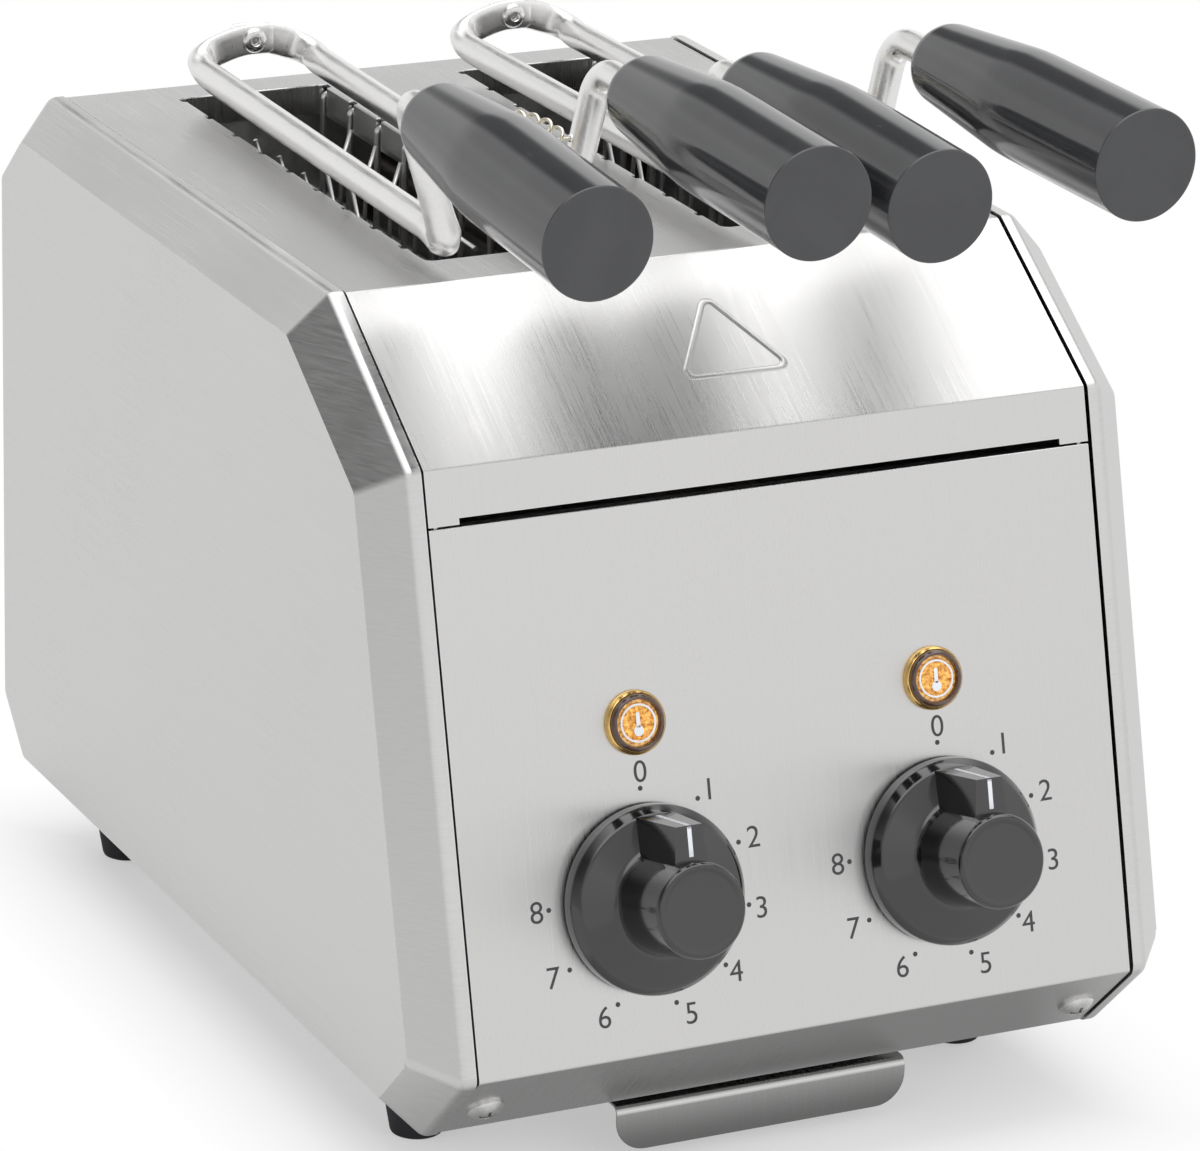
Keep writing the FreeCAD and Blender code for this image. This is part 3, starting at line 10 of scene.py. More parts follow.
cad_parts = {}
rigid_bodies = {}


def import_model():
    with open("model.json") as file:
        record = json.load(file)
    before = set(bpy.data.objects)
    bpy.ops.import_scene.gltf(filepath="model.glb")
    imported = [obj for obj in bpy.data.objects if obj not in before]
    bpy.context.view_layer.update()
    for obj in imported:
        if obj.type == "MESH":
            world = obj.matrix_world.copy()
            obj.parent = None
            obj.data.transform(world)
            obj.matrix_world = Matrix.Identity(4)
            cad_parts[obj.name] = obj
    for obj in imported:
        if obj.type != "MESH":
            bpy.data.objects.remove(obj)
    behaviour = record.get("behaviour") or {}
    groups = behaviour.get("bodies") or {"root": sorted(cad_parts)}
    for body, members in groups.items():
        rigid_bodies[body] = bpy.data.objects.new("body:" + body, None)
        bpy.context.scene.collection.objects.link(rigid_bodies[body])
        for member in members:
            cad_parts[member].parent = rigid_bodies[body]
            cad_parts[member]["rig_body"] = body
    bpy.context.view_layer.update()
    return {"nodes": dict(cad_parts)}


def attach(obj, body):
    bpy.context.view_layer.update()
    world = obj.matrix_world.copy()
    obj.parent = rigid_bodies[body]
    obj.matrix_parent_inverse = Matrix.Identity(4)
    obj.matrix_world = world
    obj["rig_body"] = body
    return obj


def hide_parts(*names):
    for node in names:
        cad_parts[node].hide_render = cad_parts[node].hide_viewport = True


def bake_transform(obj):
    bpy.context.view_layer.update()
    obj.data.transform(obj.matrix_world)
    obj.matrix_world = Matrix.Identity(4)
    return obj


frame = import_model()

bl_info = {
    "name": "Clamp toaster",
    "version": (1, 0, 0),
    "blender": (4, 5, 0),
    "location": "View3D > Sidebar > Toaster",
    "description": "Dresses the clamp toaster's frame with finished pieces and sets up its studio",
    "category": "Object",
}

# Lengths inside the functions are millimetres, and MM turns them into metres.
# X is to the right seen from the front, Y to the back, Z up. "Depth" is a distance behind
# the foremost edge of the body.
MM = 0.001
DEPTH_TO_MIDDLE = 164.0
GROUND_GAP = 21.0
HANDS = (("left", -1), ("right", 1))

# Side outline of the body: depth and rise of each corner
OUTLINE = (
    (307.2, 220.2), (95.3, 220.2), (42.3, 185.9), (0.0, 25.6),
    (26.6, 0.0), (310.9, 0.0), (333.3, 23.3), (331.1, 198.7))
# Side shells: their sheet, distances of the folds from the middle, and width of the bevel
SHELL_SHEET = 1.0
SHELL_LIP_X = 100.9
SHELL_RIDGE_X = 104.6
SHELL_FACE_X = 115.8
SHELL_BEVEL = 11.8
SHELL_FOLD = 1.5
# Feet: distance to each side of the middle, and depths
FOOT_X = 85.5
FOOT_DEPTHS = (74.0, 296.0)
# Where the rims of the slots are looked for: above a height, within a distance from the
# middle of each slot, and between two places along Y
RIM_Z = 240.3
RIM_HALF_WIDTH = 24
RIM_Y = (-52, 132)

# The front panel: its lower fold, and its own directions up the sheet and out of it
PANEL_FOLD = Vector((0.0, -163.33, 46.788))
PANEL_UP = Vector((0.0, 0.255146, 0.966902))
PANEL_OUT = Vector((0.0, -0.966902, 0.255146))
# The slope above it: its foot, and the same two directions
SLOPE_FOOT = Vector((0.0, -121.37, 206.40))
SLOPE_UP = Vector((0.0, 0.839517, 0.543333))
SLOPE_OUT = Vector((0.0, -0.543333, 0.839517))
# Dials and lamps: distance to each side, rise up the panel, ring of dots and its steps
DIAL_X = 45.4
DIAL_UP = 42.6
DIAL_RADIUS = 30.0
DIAL_STEP = 34.0
LAMP_UP = 90.6
# Wing of a knob: from foot to top, its reach at each, and the white line on it
WING_FOOT = 4.0
WING_TOP = 28.8
WING_FOOT_REACH = 23.7
WING_TOP_REACH = 22.7
LINE_HALF = 0.62
LINE_PROUD = 0.06
LINE_SUNK = 0.3
# Dial print: how proud it lies, half its thickness, and a numeral's share of its font's size
PRINT_PROUD = 0.03
PRINT_HALF = 0.05
NUMERAL_SHARE = 0.73

# Tongs: sideways shift and turn of each in its slot, and the shared shape
SLOT_X = 45.4
TONG_SHIFT = {"left": -0.4, "right": -2.5}
TONG_TURN = {"left": -0.9, "right": 1.4}
TONG_TURN_Y = 37.5
# Arms: bar, elbow, and the rod that leans from there to its handle
ARM_RADIUS = 4.25
ARM_X = 18.7
ARM_Z = 249.4
ELBOW_Y = -56.6
ELBOW_DROP = 1.1
ARM_SKEW = 2.4
ROD_LEAN = 3.0
# Bands at the rivet: each lies in its own layer and reaches past it with its tip, bends
# forwards, stays flat up to BAND_FLAT, is round BAND_SPREAD further on, and comes down over
# BAND_DESCENT
PIVOT_Y = 133.2
PIVOT_Z = 255.9
RIVET_REACH = 2.36
BAND_TIP = 6.2
BAND_LAYER = 1.175
BAND_BEND = 6.0
BAND_FLAT = 11.5
BAND_SPREAD = 8.5
BAND_DESCENT = 27.0
BAND_HALF_HEIGHT = 4.6
BAND_HALF_THICKNESS = 1.1
# Springs: bowed coils between two seats
SPRING_Y = -54.92
SPRING_TOP = 279.8
SPRING_ARCH = 22.5
SPRING_HALF_SPAN = 17.0
SPRING_COIL = 2.4
SPRING_TURNS = 9.5
SPRING_STEPS = 252
SPRING_SEAT_X = 20.2
# Handles: X, Y and Z of each end and how far the right one is above, and the left one below,
# that Z; then the bore for the arm
HANDLE_FRONT = (31.0, -184.0, 286.3, 2.2)
HANDLE_REAR = (30.0, -77.0, 289.3, 1.0)
HANDLE_BORE_RADIUS = 4.3
HANDLE_BORE = 42.0

# Camera: place in metres, yaw, pitch and roll in degrees, and shift
CAMERA_PLACE = (-0.74073, -1.55441, 0.73796)
CAMERA_TURN = (-26.42, 20.19, -1.56)
CAMERA_SHIFT = (-0.0508, 0.05285)
# Soft lamps, in metres: name, place, point aimed at, width, height, and radiance
LAMPS = (
    ("lamp_above", (0.2, 0.1, 1.9), (0.0, 0.0, 0.1), 2.4, 1.8, 0.9),
    ("lamp_front", (0.6, -2.1, 1.0), (0.0, 0.0, 0.15), 1.8, 1.2, 1.9),
    ("lamp_left", (-2.3, -0.2, 1.2), (0.0, 0.0, 0.15), 1.2, 1.2, 1.2))
# Floor: its radius and half the ground under the body in metres, then how its glow grows from
# that ground outwards, seen by the camera and in reflections: distance, first and last level.
# In reflections the floor is glow alone, and its dimmer glow near the body is a painted shadow
FLOOR_RADIUS = 30.0
GROUND_HALF = (("X", 0.095), ("Y", 0.150))
SEEN_GLOW = (0.050, 0.42, 1.0)
MIRRORED_GLOW_AND_PAINTED_SHADOW = (0.060, 0.30, 0.90)
# Surroundings: plain level that lights the object, level shown at each elevation in degrees,
# brightest of these, and patches: direction, cosines where each starts and is full, and level
PLAIN_LEVEL = 0.74
ELEVATIONS = (
    (-90, 1.0), (0, 1.0), (5, 1.0), (9, 1.0), (20, 1.12), (25, 0.92), (34, 0.80), (41, 0.75),
    (48, 1.60), (55, 2.40), (90, 2.30))
BRIGHTEST = 2.5
PATCHES = (
    ((-0.766, 0.23, 0.60), 0.76, 0.96, 0.24),
    ((-0.92, -0.39, 0.02), 0.80, 0.98, 0.63),
    ((-0.366, 0.8405, 0.398), 0.90, 0.99, 0.92),
    ((0.185, 0.8405, 0.509), 0.968, 0.988, 0.18),
    ((0.418, -0.902, 0.114), 0.80, 0.96, 1.06))


class ToasterSizes(PropertyGroup):
    """Sizes that a user would change."""
    fold_radius: FloatProperty(
        name="Fold radius", description="Outer radius of the folds in the sheet metal",
        default=0.0009, min=0.0002, max=0.003, unit="LENGTH", subtype="DISTANCE")
    shell_corner: FloatProperty(
        name="Shell corner", description="Radius of the corners of a side shell seen from the side",
        default=0.0042, min=0.001, max=0.008, unit="LENGTH", subtype="DISTANCE")
    rim_radius: FloatProperty(
        name="Slot rim radius", description="Outer radius of the fold round each slot",
        default=0.0014, min=0.0003, max=0.0016, unit="LENGTH", subtype="DISTANCE")
    edge_radius: FloatProperty(
        name="Sheet edge radius", description="Rounding of cut sheet edges",
        default=0.00018, min=0.00005, max=0.0004, unit="LENGTH", subtype="DISTANCE")
    numeral_height: FloatProperty(
        name="Numeral height", description="Height of the numerals round each dial",
        default=0.0063, min=0.003, max=0.008, unit="LENGTH", subtype="DISTANCE")
    dot_radius: FloatProperty(
        name="Dot radius", description="Radius of the dots round each dial",
        default=0.0007, min=0.0003, max=0.0015, unit="LENGTH", subtype="DISTANCE")
    spring_wire: FloatProperty(
        name="Spring wire radius", description="Radius of the wire of each tong spring",
        default=0.00055, min=0.0004, max=0.0009, unit="LENGTH", subtype="DISTANCE")
    round_steps: IntProperty(
        name="Round steps", description="Facets round a turned piece",
        default=96, min=24, max=160)
    lens: FloatProperty(
        name="Focal length", description="Focal length of the camera",
        default=0.188235, min=0.02, max=0.4, unit="CAMERA")


class ToasterFinishes(PropertyGroup):
    """Colours that a user would change."""
    steel: FloatVectorProperty(
        name="Brushed steel", description="Colour of the body sheets",
        default=(0.622, 0.619, 0.614), size=3, min=0.0, max=1.0, subtype="COLOR")
    tube: FloatVectorProperty(
        name="Tube steel", description="Colour of the tong arms",
        default=(0.840, 0.835, 0.825), size=3, min=0.0, max=1.0, subtype="COLOR")
    chrome: FloatVectorProperty(
        name="Bright wire", description="Colour of cages and guards",
        default=(0.800, 0.800, 0.790), size=3, min=0.0, max=1.0, subtype="COLOR")
    grip: FloatVectorProperty(
        name="Handle plastic", description="Colour of the tong handles",
        default=(0.036, 0.037, 0.040), size=3, min=0.0, max=1.0, subtype="COLOR")
    knob: FloatVectorProperty(
        name="Knob plastic", description="Colour of the knobs",
        default=(0.0055, 0.0056, 0.0066), size=3, min=0.0, max=1.0, subtype="COLOR")
    mark: FloatVectorProperty(
        name="Dial print", description="Colour of the dots and numerals",
        default=(0.045, 0.045, 0.048), size=3, min=0.0, max=1.0, subtype="COLOR")
    amber: FloatVectorProperty(
        name="Lamp amber", description="Colour of the lamp lenses",
        default=(0.85, 0.33, 0.04), size=3, min=0.0, max=1.0, subtype="COLOR")
    floor: FloatVectorProperty(
        name="Floor", description="Colour of the floor",
        default=(0.93, 0.93, 0.93), size=3, min=0.0, max=1.0, subtype="COLOR")


def sizes():
    return bpy.context.scene.toaster_sizes


def finishes():
    return bpy.context.scene.toaster_finishes


# Shader node groups shared by the materials

def new_group(name, inputs, outputs):
    """An empty node group with named sockets; inputs and outputs are (name, type, default)."""
    group = bpy.data.node_groups.new(name, "ShaderNodeTree")
    for socket_name, kind, value in inputs:
        socket = group.interface.new_socket(socket_name, in_out="INPUT", socket_type=kind)
        if value is not None:
            socket.default_value = value
    for socket_name, kind in outputs:
        group.interface.new_socket(socket_name, in_out="OUTPUT", socket_type=kind)
    start = group.nodes.new("NodeGroupInput")
    end = group.nodes.new("NodeGroupOutput")
    return group, start, end


def feed(tree, socket, value):
    """Link another node's output to a socket, or set the socket's own value."""
    if hasattr(value, "is_output"):
        tree.links.new(value, socket)
    else:
        socket.default_value = value


def math_node(tree, operation, first, second=None, clamp=False):
    node = tree.nodes.new("ShaderNodeMath")
    node.operation = operation
    node.use_clamp = clamp
    feed(tree, node.inputs[0], first)
    if second is not None:
        feed(tree, node.inputs[1], second)
    return node.outputs[0]


def vector_node(tree, operation, first, second):
    node = tree.nodes.new("ShaderNodeVectorMath")
    node.operation = operation
    feed(tree, node.inputs[0], first)
    feed(tree, node.inputs[1], second)
    return node.outputs["Value" if operation == "DOT_PRODUCT" else "Vector"]


def axes_of(tree, vector):
    """The X, Y and Z outputs of a vector."""
    node = tree.nodes.new("ShaderNodeSeparateXYZ")
    tree.links.new(vector, node.inputs[0])
    return node.outputs


def noise_node(tree, vector, scale, detail, roughness=0.5, distortion=0.0):
    node = tree.nodes.new("ShaderNodeTexNoise")
    feed(tree, node.inputs["Scale"], scale)
    node.inputs["Detail"].default_value = detail
    node.inputs["Roughness"].default_value = roughness
    node.inputs["Distortion"].default_value = distortion
    tree.links.new(vector, node.inputs["Vector"])
    return node.outputs["Fac"]


def remap(tree, value, from_low, from_high, to_low, to_high):
    node = tree.nodes.new("ShaderNodeMapRange")
    node.inputs["From Min"].default_value = from_low
    node.inputs["From Max"].default_value = from_high
    node.inputs["To Min"].default_value = to_low
    node.inputs["To Max"].default_value = to_high
    tree.links.new(value, node.inputs["Value"])
    return node.outputs["Result"]


def grain_group():
    """Brushed grain: fine streaks along the stretched direction, and broad soft patches."""
    found = bpy.data.node_groups.get("Brushed grain")
    if found:
        return found
    group, start, end = new_group(
        "Brushed grain",
        (("Vector", "NodeSocketVector", None), ("Stretch", "NodeSocketVector", (1, 1, 1))),
        (("Streaks", "NodeSocketFloat"), ("Hairlines", "NodeSocketFloat"),
         ("Patches", "NodeSocketFloat")))
    scaled = vector_node(group, "MULTIPLY", start.outputs["Vector"], start.outputs["Stretch"])
    streaks = noise_node(group, scaled, 1.0, 4.0, 0.62)
    fine = noise_node(group, scaled, 3.7, 2.0)
    hairlines = remap(group, fine, 0.62, 0.76, 0.0, 1.0)
    patches = noise_node(group, start.outputs["Vector"], 14.0, 3.0, 0.55)
    group.links.new(streaks, end.inputs["Streaks"])
    group.links.new(hairlines, end.inputs["Hairlines"])
    group.links.new(patches, end.inputs["Patches"])
    return group


def wear_group():
    """Edge wear: a broken mask along rounded edges."""
    found = bpy.data.node_groups.get("Edge wear")
    if found:
        return found
    group, start, end = new_group(
        "Edge wear",
        (("Vector", "NodeSocketVector", None), ("Radius", "NodeSocketFloat", 0.0006),
         ("Break-up", "NodeSocketFloat", 300.0)),
        (("Mask", "NodeSocketFloat"),))
    bevel = group.nodes.new("ShaderNodeBevel")
    bevel.samples = 4
    group.links.new(start.outputs["Radius"], bevel.inputs["Radius"])
    geometry = group.nodes.new("ShaderNodeNewGeometry")
    same = vector_node(group, "DOT_PRODUCT", bevel.outputs["Normal"], geometry.outputs["Normal"])
    edge = remap(group, same, 0.995, 0.90, 0.0, 1.0)
    noise = noise_node(group, start.outputs["Vector"], start.outputs["Break-up"], 3.0)
    broken = remap(group, noise, 0.38, 0.6, 0.15, 1.0)
    group.links.new(math_node(group, "MULTIPLY", edge, broken, True), end.inputs["Mask"])
    return group


def speckle_group():
    """Handling marks: a fine grain for bump, soft smudges and a few short scuffs."""
    found = bpy.data.node_groups.get("Handling marks")
    if found:
        return found
    group, start, end = new_group(
        "Handling marks",
        (("Vector", "NodeSocketVector", None), ("Grain", "NodeSocketFloat", 1500.0)),
        (("Fine grain", "NodeSocketFloat"), ("Smudges", "NodeSocketFloat"),
         ("Scuffs", "NodeSocketFloat")))
    fine = noise_node(group, start.outputs["Vector"], start.outputs["Grain"], 3.0)
    smudges = noise_node(group, start.outputs["Vector"], 45.0, 4.0, 0.6, 0.8)
    thin = vector_node(group, "MULTIPLY", start.outputs["Vector"], (700.0, 90.0, 420.0))
    scratch = noise_node(group, thin, 1.0, 2.0, 0.5, 0.3)
    group.links.new(fine, end.inputs["Fine grain"])
    group.links.new(remap(group, smudges, 0.42, 0.68, 0.0, 1.0), end.inputs["Smudges"])
    group.links.new(remap(group, scratch, 0.70, 0.78, 0.0, 1.0), end.inputs["Scuffs"])
    return group


def placed_group(tree, group, vector, **values):
    node = tree.nodes.new("ShaderNodeGroup")
    node.node_tree = group
    tree.links.new(vector, node.inputs["Vector"])
    for name, value in values.items():
        node.inputs[name].default_value = value
    return node


def bump_node(tree, height, strength, distance):
    node = tree.nodes.new("ShaderNodeBump")
    node.inputs["Strength"].default_value = strength
    node.inputs["Distance"].default_value = distance
    tree.links.new(height, node.inputs["Height"])
    return node.outputs["Normal"]


def mix_colour(tree, factor, first, second):
    node = tree.nodes.new("ShaderNodeMix")
    node.data_type = "RGBA"
    tree.links.new(factor, node.inputs["Factor"])
    for socket, value in ((node.inputs["A"], first), (node.inputs["B"], second)):
        feed(tree, socket, value if hasattr(value, "is_output") else (*value, 1.0))
    return node.outputs["Result"]


def mix_shaders(tree, factor, first, second):
    node = tree.nodes.new("ShaderNodeMixShader")
    for socket, output in zip(node.inputs, (factor, first, second)):
        tree.links.new(output, socket)
    return node.outputs[0]


def shade(colour, factor):
    return tuple(min(1.0, channel * factor) for channel in colour)


def start_material(name):
    made = bpy.data.materials.new(name)
    made.use_nodes = True
    tree = made.node_tree
    shader = tree.nodes["Principled BSDF"]
    coordinates = tree.nodes.new("ShaderNodeTexCoord")
    return made, tree, shader, coordinates.outputs["Object"]


def metal(name, colour, roughness, stretch, contrast, bump, anisotropy=0.0, turn=0.0,
          painted_low_shade=None):
    """Brushed or drawn metal. stretch is how many grain cells a metre holds along X, Y and Z,
    and the last argument, if given, is a low and a high Z in metres and the share of the
    colour below them: painted shade, darker towards the bottom."""
    found = bpy.data.materials.get(name)
    if found:
        return found
    made, tree, shader, vector = start_material(name)
    grain = placed_group(tree, grain_group(), vector, Stretch=stretch)
    wear = placed_group(tree, wear_group(), vector)
    tone = math_node(tree, "MULTIPLY", grain.outputs["Streaks"], 0.65)
    tone = math_node(tree, "ADD", tone, math_node(tree, "MULTIPLY", grain.outputs["Patches"], 0.35))
    tone = remap(tree, tone, 0.35, 0.65, 0.0, 1.0)
    base = mix_colour(tree, tone, shade(colour, 1 - contrast), shade(colour, 1 + contrast))
    base = mix_colour(tree, wear.outputs["Mask"], base, shade(colour, 1.2))
    # Painted shade: below the high Z the colour darkens towards the bottom, in place of the
    # shadowed floor that the lower part reflects
    if painted_low_shade:
        low, high, painted_shade = painted_low_shade
        base = mix_colour(tree, remap(tree, axes_of(tree, vector)["Z"], low, high, 0.0, 1.0),
                          shade(colour, painted_shade), base)
    tree.links.new(base, shader.inputs["Base Color"])
    rough = remap(tree, grain.outputs["Streaks"], 0.3, 0.7, roughness * 0.82, roughness * 1.18)
    rough = math_node(tree, "ADD", rough,
                      remap(tree, grain.outputs["Patches"], 0.35, 0.7, -0.02, 0.04))
    rough = math_node(tree, "SUBTRACT", rough,
                      math_node(tree, "MULTIPLY", wear.outputs["Mask"], roughness * 0.3), True)
    tree.links.new(rough, shader.inputs["Roughness"])
    height = math_node(tree, "SUBTRACT", grain.outputs["Streaks"],
                       math_node(tree, "MULTIPLY", grain.outputs["Hairlines"], 0.15))
    tree.links.new(bump_node(tree, height, bump, 0.0002), shader.inputs["Normal"])
    shader.inputs["Metallic"].default_value = 1.0
    shader.inputs["Anisotropic"].default_value = anisotropy
    shader.inputs["Anisotropic Rotation"].default_value = turn
    return made


def plastic(name, colour, roughness, grain=1500.0, bump=0.05, coat=0.0, edge_gain=1.6,
            variation=0.12, specular=0.5):
    """Moulded plastic, rubber, ceramic, woven sleeve or print."""
    found = bpy.data.materials.get(name)
    if found:
        return found
    made, tree, shader, vector = start_material(name)
    marks = placed_group(tree, speckle_group(), vector, Grain=grain)
    wear = placed_group(tree, wear_group(), vector, Radius=0.0005)
    base = mix_colour(tree, marks.outputs["Smudges"], shade(colour, 1 - variation),
                      shade(colour, 1 + variation))
    base = mix_colour(tree, wear.outputs["Mask"], base, shade(colour, edge_gain))
    tree.links.new(base, shader.inputs["Base Color"])
    rough = remap(tree, marks.outputs["Smudges"], 0.0, 1.0, roughness, roughness * 1.22)
    rough = math_node(tree, "ADD", rough,
                      math_node(tree, "MULTIPLY", marks.outputs["Scuffs"], 0.12), True)
    tree.links.new(rough, shader.inputs["Roughness"])
    height = math_node(tree, "SUBTRACT", marks.outputs["Fine grain"],
                       math_node(tree, "MULTIPLY", marks.outputs["Scuffs"], 0.6))
    tree.links.new(bump_node(tree, height, bump, 0.0001), shader.inputs["Normal"])
    shader.inputs["Coat Weight"].default_value = coat
    shader.inputs["Coat Roughness"].default_value = 0.12
    shader.inputs["Specular IOR Level"].default_value = specular
    return made


def amber_lens():
    """Amber moulding under a glossy coat: light and deep in fine spots, with a faint glow."""
    made, tree, shader, vector = start_material("amber_moulding")
    noise = noise_node(tree, vector, 900.0, 2.0)
    colour = tuple(finishes().amber)
    base = mix_colour(tree, remap(tree, noise, 0.35, 0.65, 0.0, 1.0), shade(colour, 0.55),
                      (1.0, 0.62, 0.18))
    tree.links.new(base, shader.inputs["Base Color"])
    tree.links.new(base, shader.inputs["Emission Color"])
    shader.inputs["Emission Strength"].default_value = 0.25
    tree.links.new(remap(tree, noise, 0.3, 0.7, 0.08, 0.2), shader.inputs["Roughness"])
    shader.inputs["Coat Weight"].default_value = 1.0
    shader.inputs["Coat Roughness"].default_value = 0.03
    return made


def finish_of(slot):
    """The material for one of the record's material slots."""
    look = finishes()
    steel = tuple(look.steel)
    tube = tuple(look.tube)
    chrome = tuple(look.chrome)
    recipes = {
        "brushed_stainless": lambda: metal(
            "brushed_sheet", steel, 0.30, (2800, 30, 30), contrast=0.04, bump=0.03,
            anisotropy=0.8),
        "shell_stainless": lambda: metal(
            "brushed_shell", steel, 0.31, (240, 30, 2200), contrast=0.05, bump=0.035,
            anisotropy=0.6, turn=0.25),
        # Tray: a brighter colour than the other sheets, darkened towards the bottom by painted
        # shade for the shadowed floor it reflects there
        "tray_stainless": lambda: metal(
            "brushed_tray", shade(steel, 1.25), 0.24, (2400, 40, 40), contrast=0.05, bump=0.03,
            anisotropy=0.6, painted_low_shade=(0.006, 0.030, 0.55)),
        "plain_steel": lambda: metal(
            "mill_sheet", steel, 0.45, (300, 60, 240), contrast=0.12, bump=0.12),
        "bright_reflector": lambda: metal(
            "reflector_sheet", shade(steel, 1.1), 0.35, (200, 30, 500), contrast=0.2, bump=0.2),
        "chromed_wire": lambda: metal(
            "polished_wire", chrome, 0.34, (500, 500, 120), contrast=0.12, bump=0.05),
        "satin_tube": lambda: metal(
            "satin_pipe", tube, 0.31, (1300, 110, 700), contrast=0.05, bump=0.04),
        "spring_steel": lambda: metal(
            "coiled_wire", (0.76, 0.72, 0.60), 0.26, (900, 900, 900), contrast=0.12, bump=0.06),
        "rivet_steel": lambda: metal(
            "turned_steel", shade(tube, 0.85), 0.24, (900, 900, 900), contrast=0.12, bump=0.08),
        "heater_sheath": lambda: metal(
            "heater_pipe", (0.13, 0.11, 0.10), 0.5, (400, 60, 400), contrast=0.25, bump=0.2),
        "lamp_brass": lambda: metal(
            "gold_rim", (0.86, 0.56, 0.20), 0.22, (900, 900, 900), contrast=0.12, bump=0.05),
        "shaft_steel": lambda: metal(
            "drawn_shaft", shade(steel, 0.9), 0.3, (900, 900, 200), contrast=0.1, bump=0.1),
        "handle_plastic": lambda: plastic(
            "grip_moulding", tuple(look.grip), 0.10, bump=0.012, variation=0.08, edge_gain=2.0,
            specular=0.75),
        "black_plastic": lambda: plastic(
            "black_moulding", tuple(look.knob), 0.07, bump=0.008, variation=0.15, edge_gain=4.0,
            coat=0.8, specular=0.6),
        "foot_rubber": lambda: plastic(
            "foot_moulding", (0.022, 0.021, 0.025), 0.62, grain=900.0, bump=0.25, specular=0.35),
        "ceramic_white": lambda: plastic(
            "fired_ceramic", (0.72, 0.69, 0.62), 0.55, grain=700.0, bump=0.2, edge_gain=1.1),
        "cream_plastic": lambda: plastic(
            "cream_moulding", (0.66, 0.61, 0.48), 0.42, grain=1100.0, bump=0.1, edge_gain=1.15),
        "wire_sleeve": lambda: plastic(
            "woven_sleeve", (0.50, 0.36, 0.22), 0.6, grain=2400.0, bump=0.4, edge_gain=1.2),
        "dial_print": lambda: plastic("dial_print", tuple(look.mark), 0.5, bump=0.05),
        "white_print": lambda: plastic(
            "white_print", (0.80, 0.82, 0.86), 0.45, bump=0.05, edge_gain=1.05, variation=0.05),
        "lamp_brown": lambda: plastic(
            "brown_moulding", (0.060, 0.022, 0.012), 0.12, coat=1.0, bump=0.02),
        "lamp_amber": amber_lens,
    }
    return recipes[slot]()


# Mesh helpers

def at_depth(depth):
    return depth - DEPTH_TO_MIDDLE


def inset(points, distance):
    """Corners of a convex outline moved inwards by a distance."""
    count = len(points)
    middle = Vector((sum(p[0] for p in points) / count, sum(p[1] for p in points) / count))
    sides = []
    for index, start in enumerate(points):
        start = Vector(start)
        along = Vector(points[(index + 1) % count]) - start
        normal = Vector((-along.y, along.x)).normalized()
        if normal.dot(middle - start) < 0:
            normal = -normal
        sides.append((normal, normal.dot(start) + distance))
    corners = []
    for index, (normal, reach) in enumerate(sides):
        before, before_reach = sides[index - 1]
        determinant = before.x * normal.y - before.y * normal.x
        corners.append(Vector(((before_reach * normal.y - before.y * reach) / determinant,
                               (before.x * reach - before_reach * normal.x) / determinant)))
    return corners


def rounded_corners(points, radius, steps, closed=True):
    """Points of a polyline with each corner turned into an arc."""
    count = len(points)
    result = []
    for index, corner in enumerate(points):
        if not closed and index in (0, count - 1):
            result.append(corner.copy())
            continue
        back = (points[index - 1] - corner).normalized()
        ahead = (points[(index + 1) % count] - corner).normalized()
        half = math.acos(max(-1.0, min(1.0, back.dot(ahead)))) / 2
        reach = radius / math.tan(half)
        bisector = (back + ahead).normalized()
        centre = corner + bisector * (radius / math.sin(half))
        first = corner + back * reach - centre
        last = corner + ahead * reach - centre
        sweep_angle = math.pi - 2 * half
        for step in range(steps + 1):
            share = step / steps
            weight_first = math.sin((1 - share) * sweep_angle) / math.sin(sweep_angle)
            weight_last = math.sin(share * sweep_angle) / math.sin(sweep_angle)
            result.append(centre + first * weight_first + last * weight_last)
    return result


def divided(points, spacing):
    """The same line with no two points further apart than a spacing."""
    result = [points[0]]
    for low, high in zip(points[:-1], points[1:]):
        count = max(1, math.ceil((high - low).length / spacing))
        result += [low.lerp(high, step / count) for step in range(1, count + 1)]
    return result


def bridge(bm, first, second):
    """Quads between two rings with equal numbers of vertices."""
    count = len(first)
    for index in range(count):
        after = (index + 1) % count
        bm.faces.new((first[index], first[after], second[after], second[index]))


def add_ring(bm, points):
    return [bm.verts.new(point) for point in points]


def lathe(bm, profile, matrix, steps=None):
    """Turned solid: profile is (radius, along) from one pole or closed; matrix places it."""
    steps = steps or sizes().round_steps
    rings = []
    for radius, along in profile:
        if radius == 0:
            rings.append([bm.verts.new(matrix @ Vector((0, 0, along)))])
            continue
        ring = []
        for step in range(steps):
            angle = 2 * math.pi * step / steps
            spot = Vector((radius * math.cos(angle), radius * math.sin(angle), along))
            ring.append(bm.verts.new(matrix @ spot))
        rings.append(ring)
    pairs = list(zip(rings[:-1], rings[1:]))
    if len(rings[0]) > 1 or len(rings[-1]) > 1:
        pairs.append((rings[-1], rings[0]))
    for low, high in pairs:
        for index in range(steps):
            after = (index + 1) % steps
            if len(low) == 1:
                bm.faces.new((low[0], high[after], high[index]))
            elif len(high) == 1:
                bm.faces.new((low[index], low[after], high[0]))
            else:
                bm.faces.new((low[index], low[after], high[after], high[index]))


def frames_along(path, first_side):
    """Each point of a path with its side and rise, without twist."""
    result = []
    side = first_side
    for index, point in enumerate(path):
        before = path[max(index - 1, 0)]
        after = path[min(index + 1, len(path) - 1)]
        tangent = (after - before).normalized()
        side = (side - tangent * side.dot(tangent)).normalized()
        result.append((point, side, side.cross(tangent)))
    return result


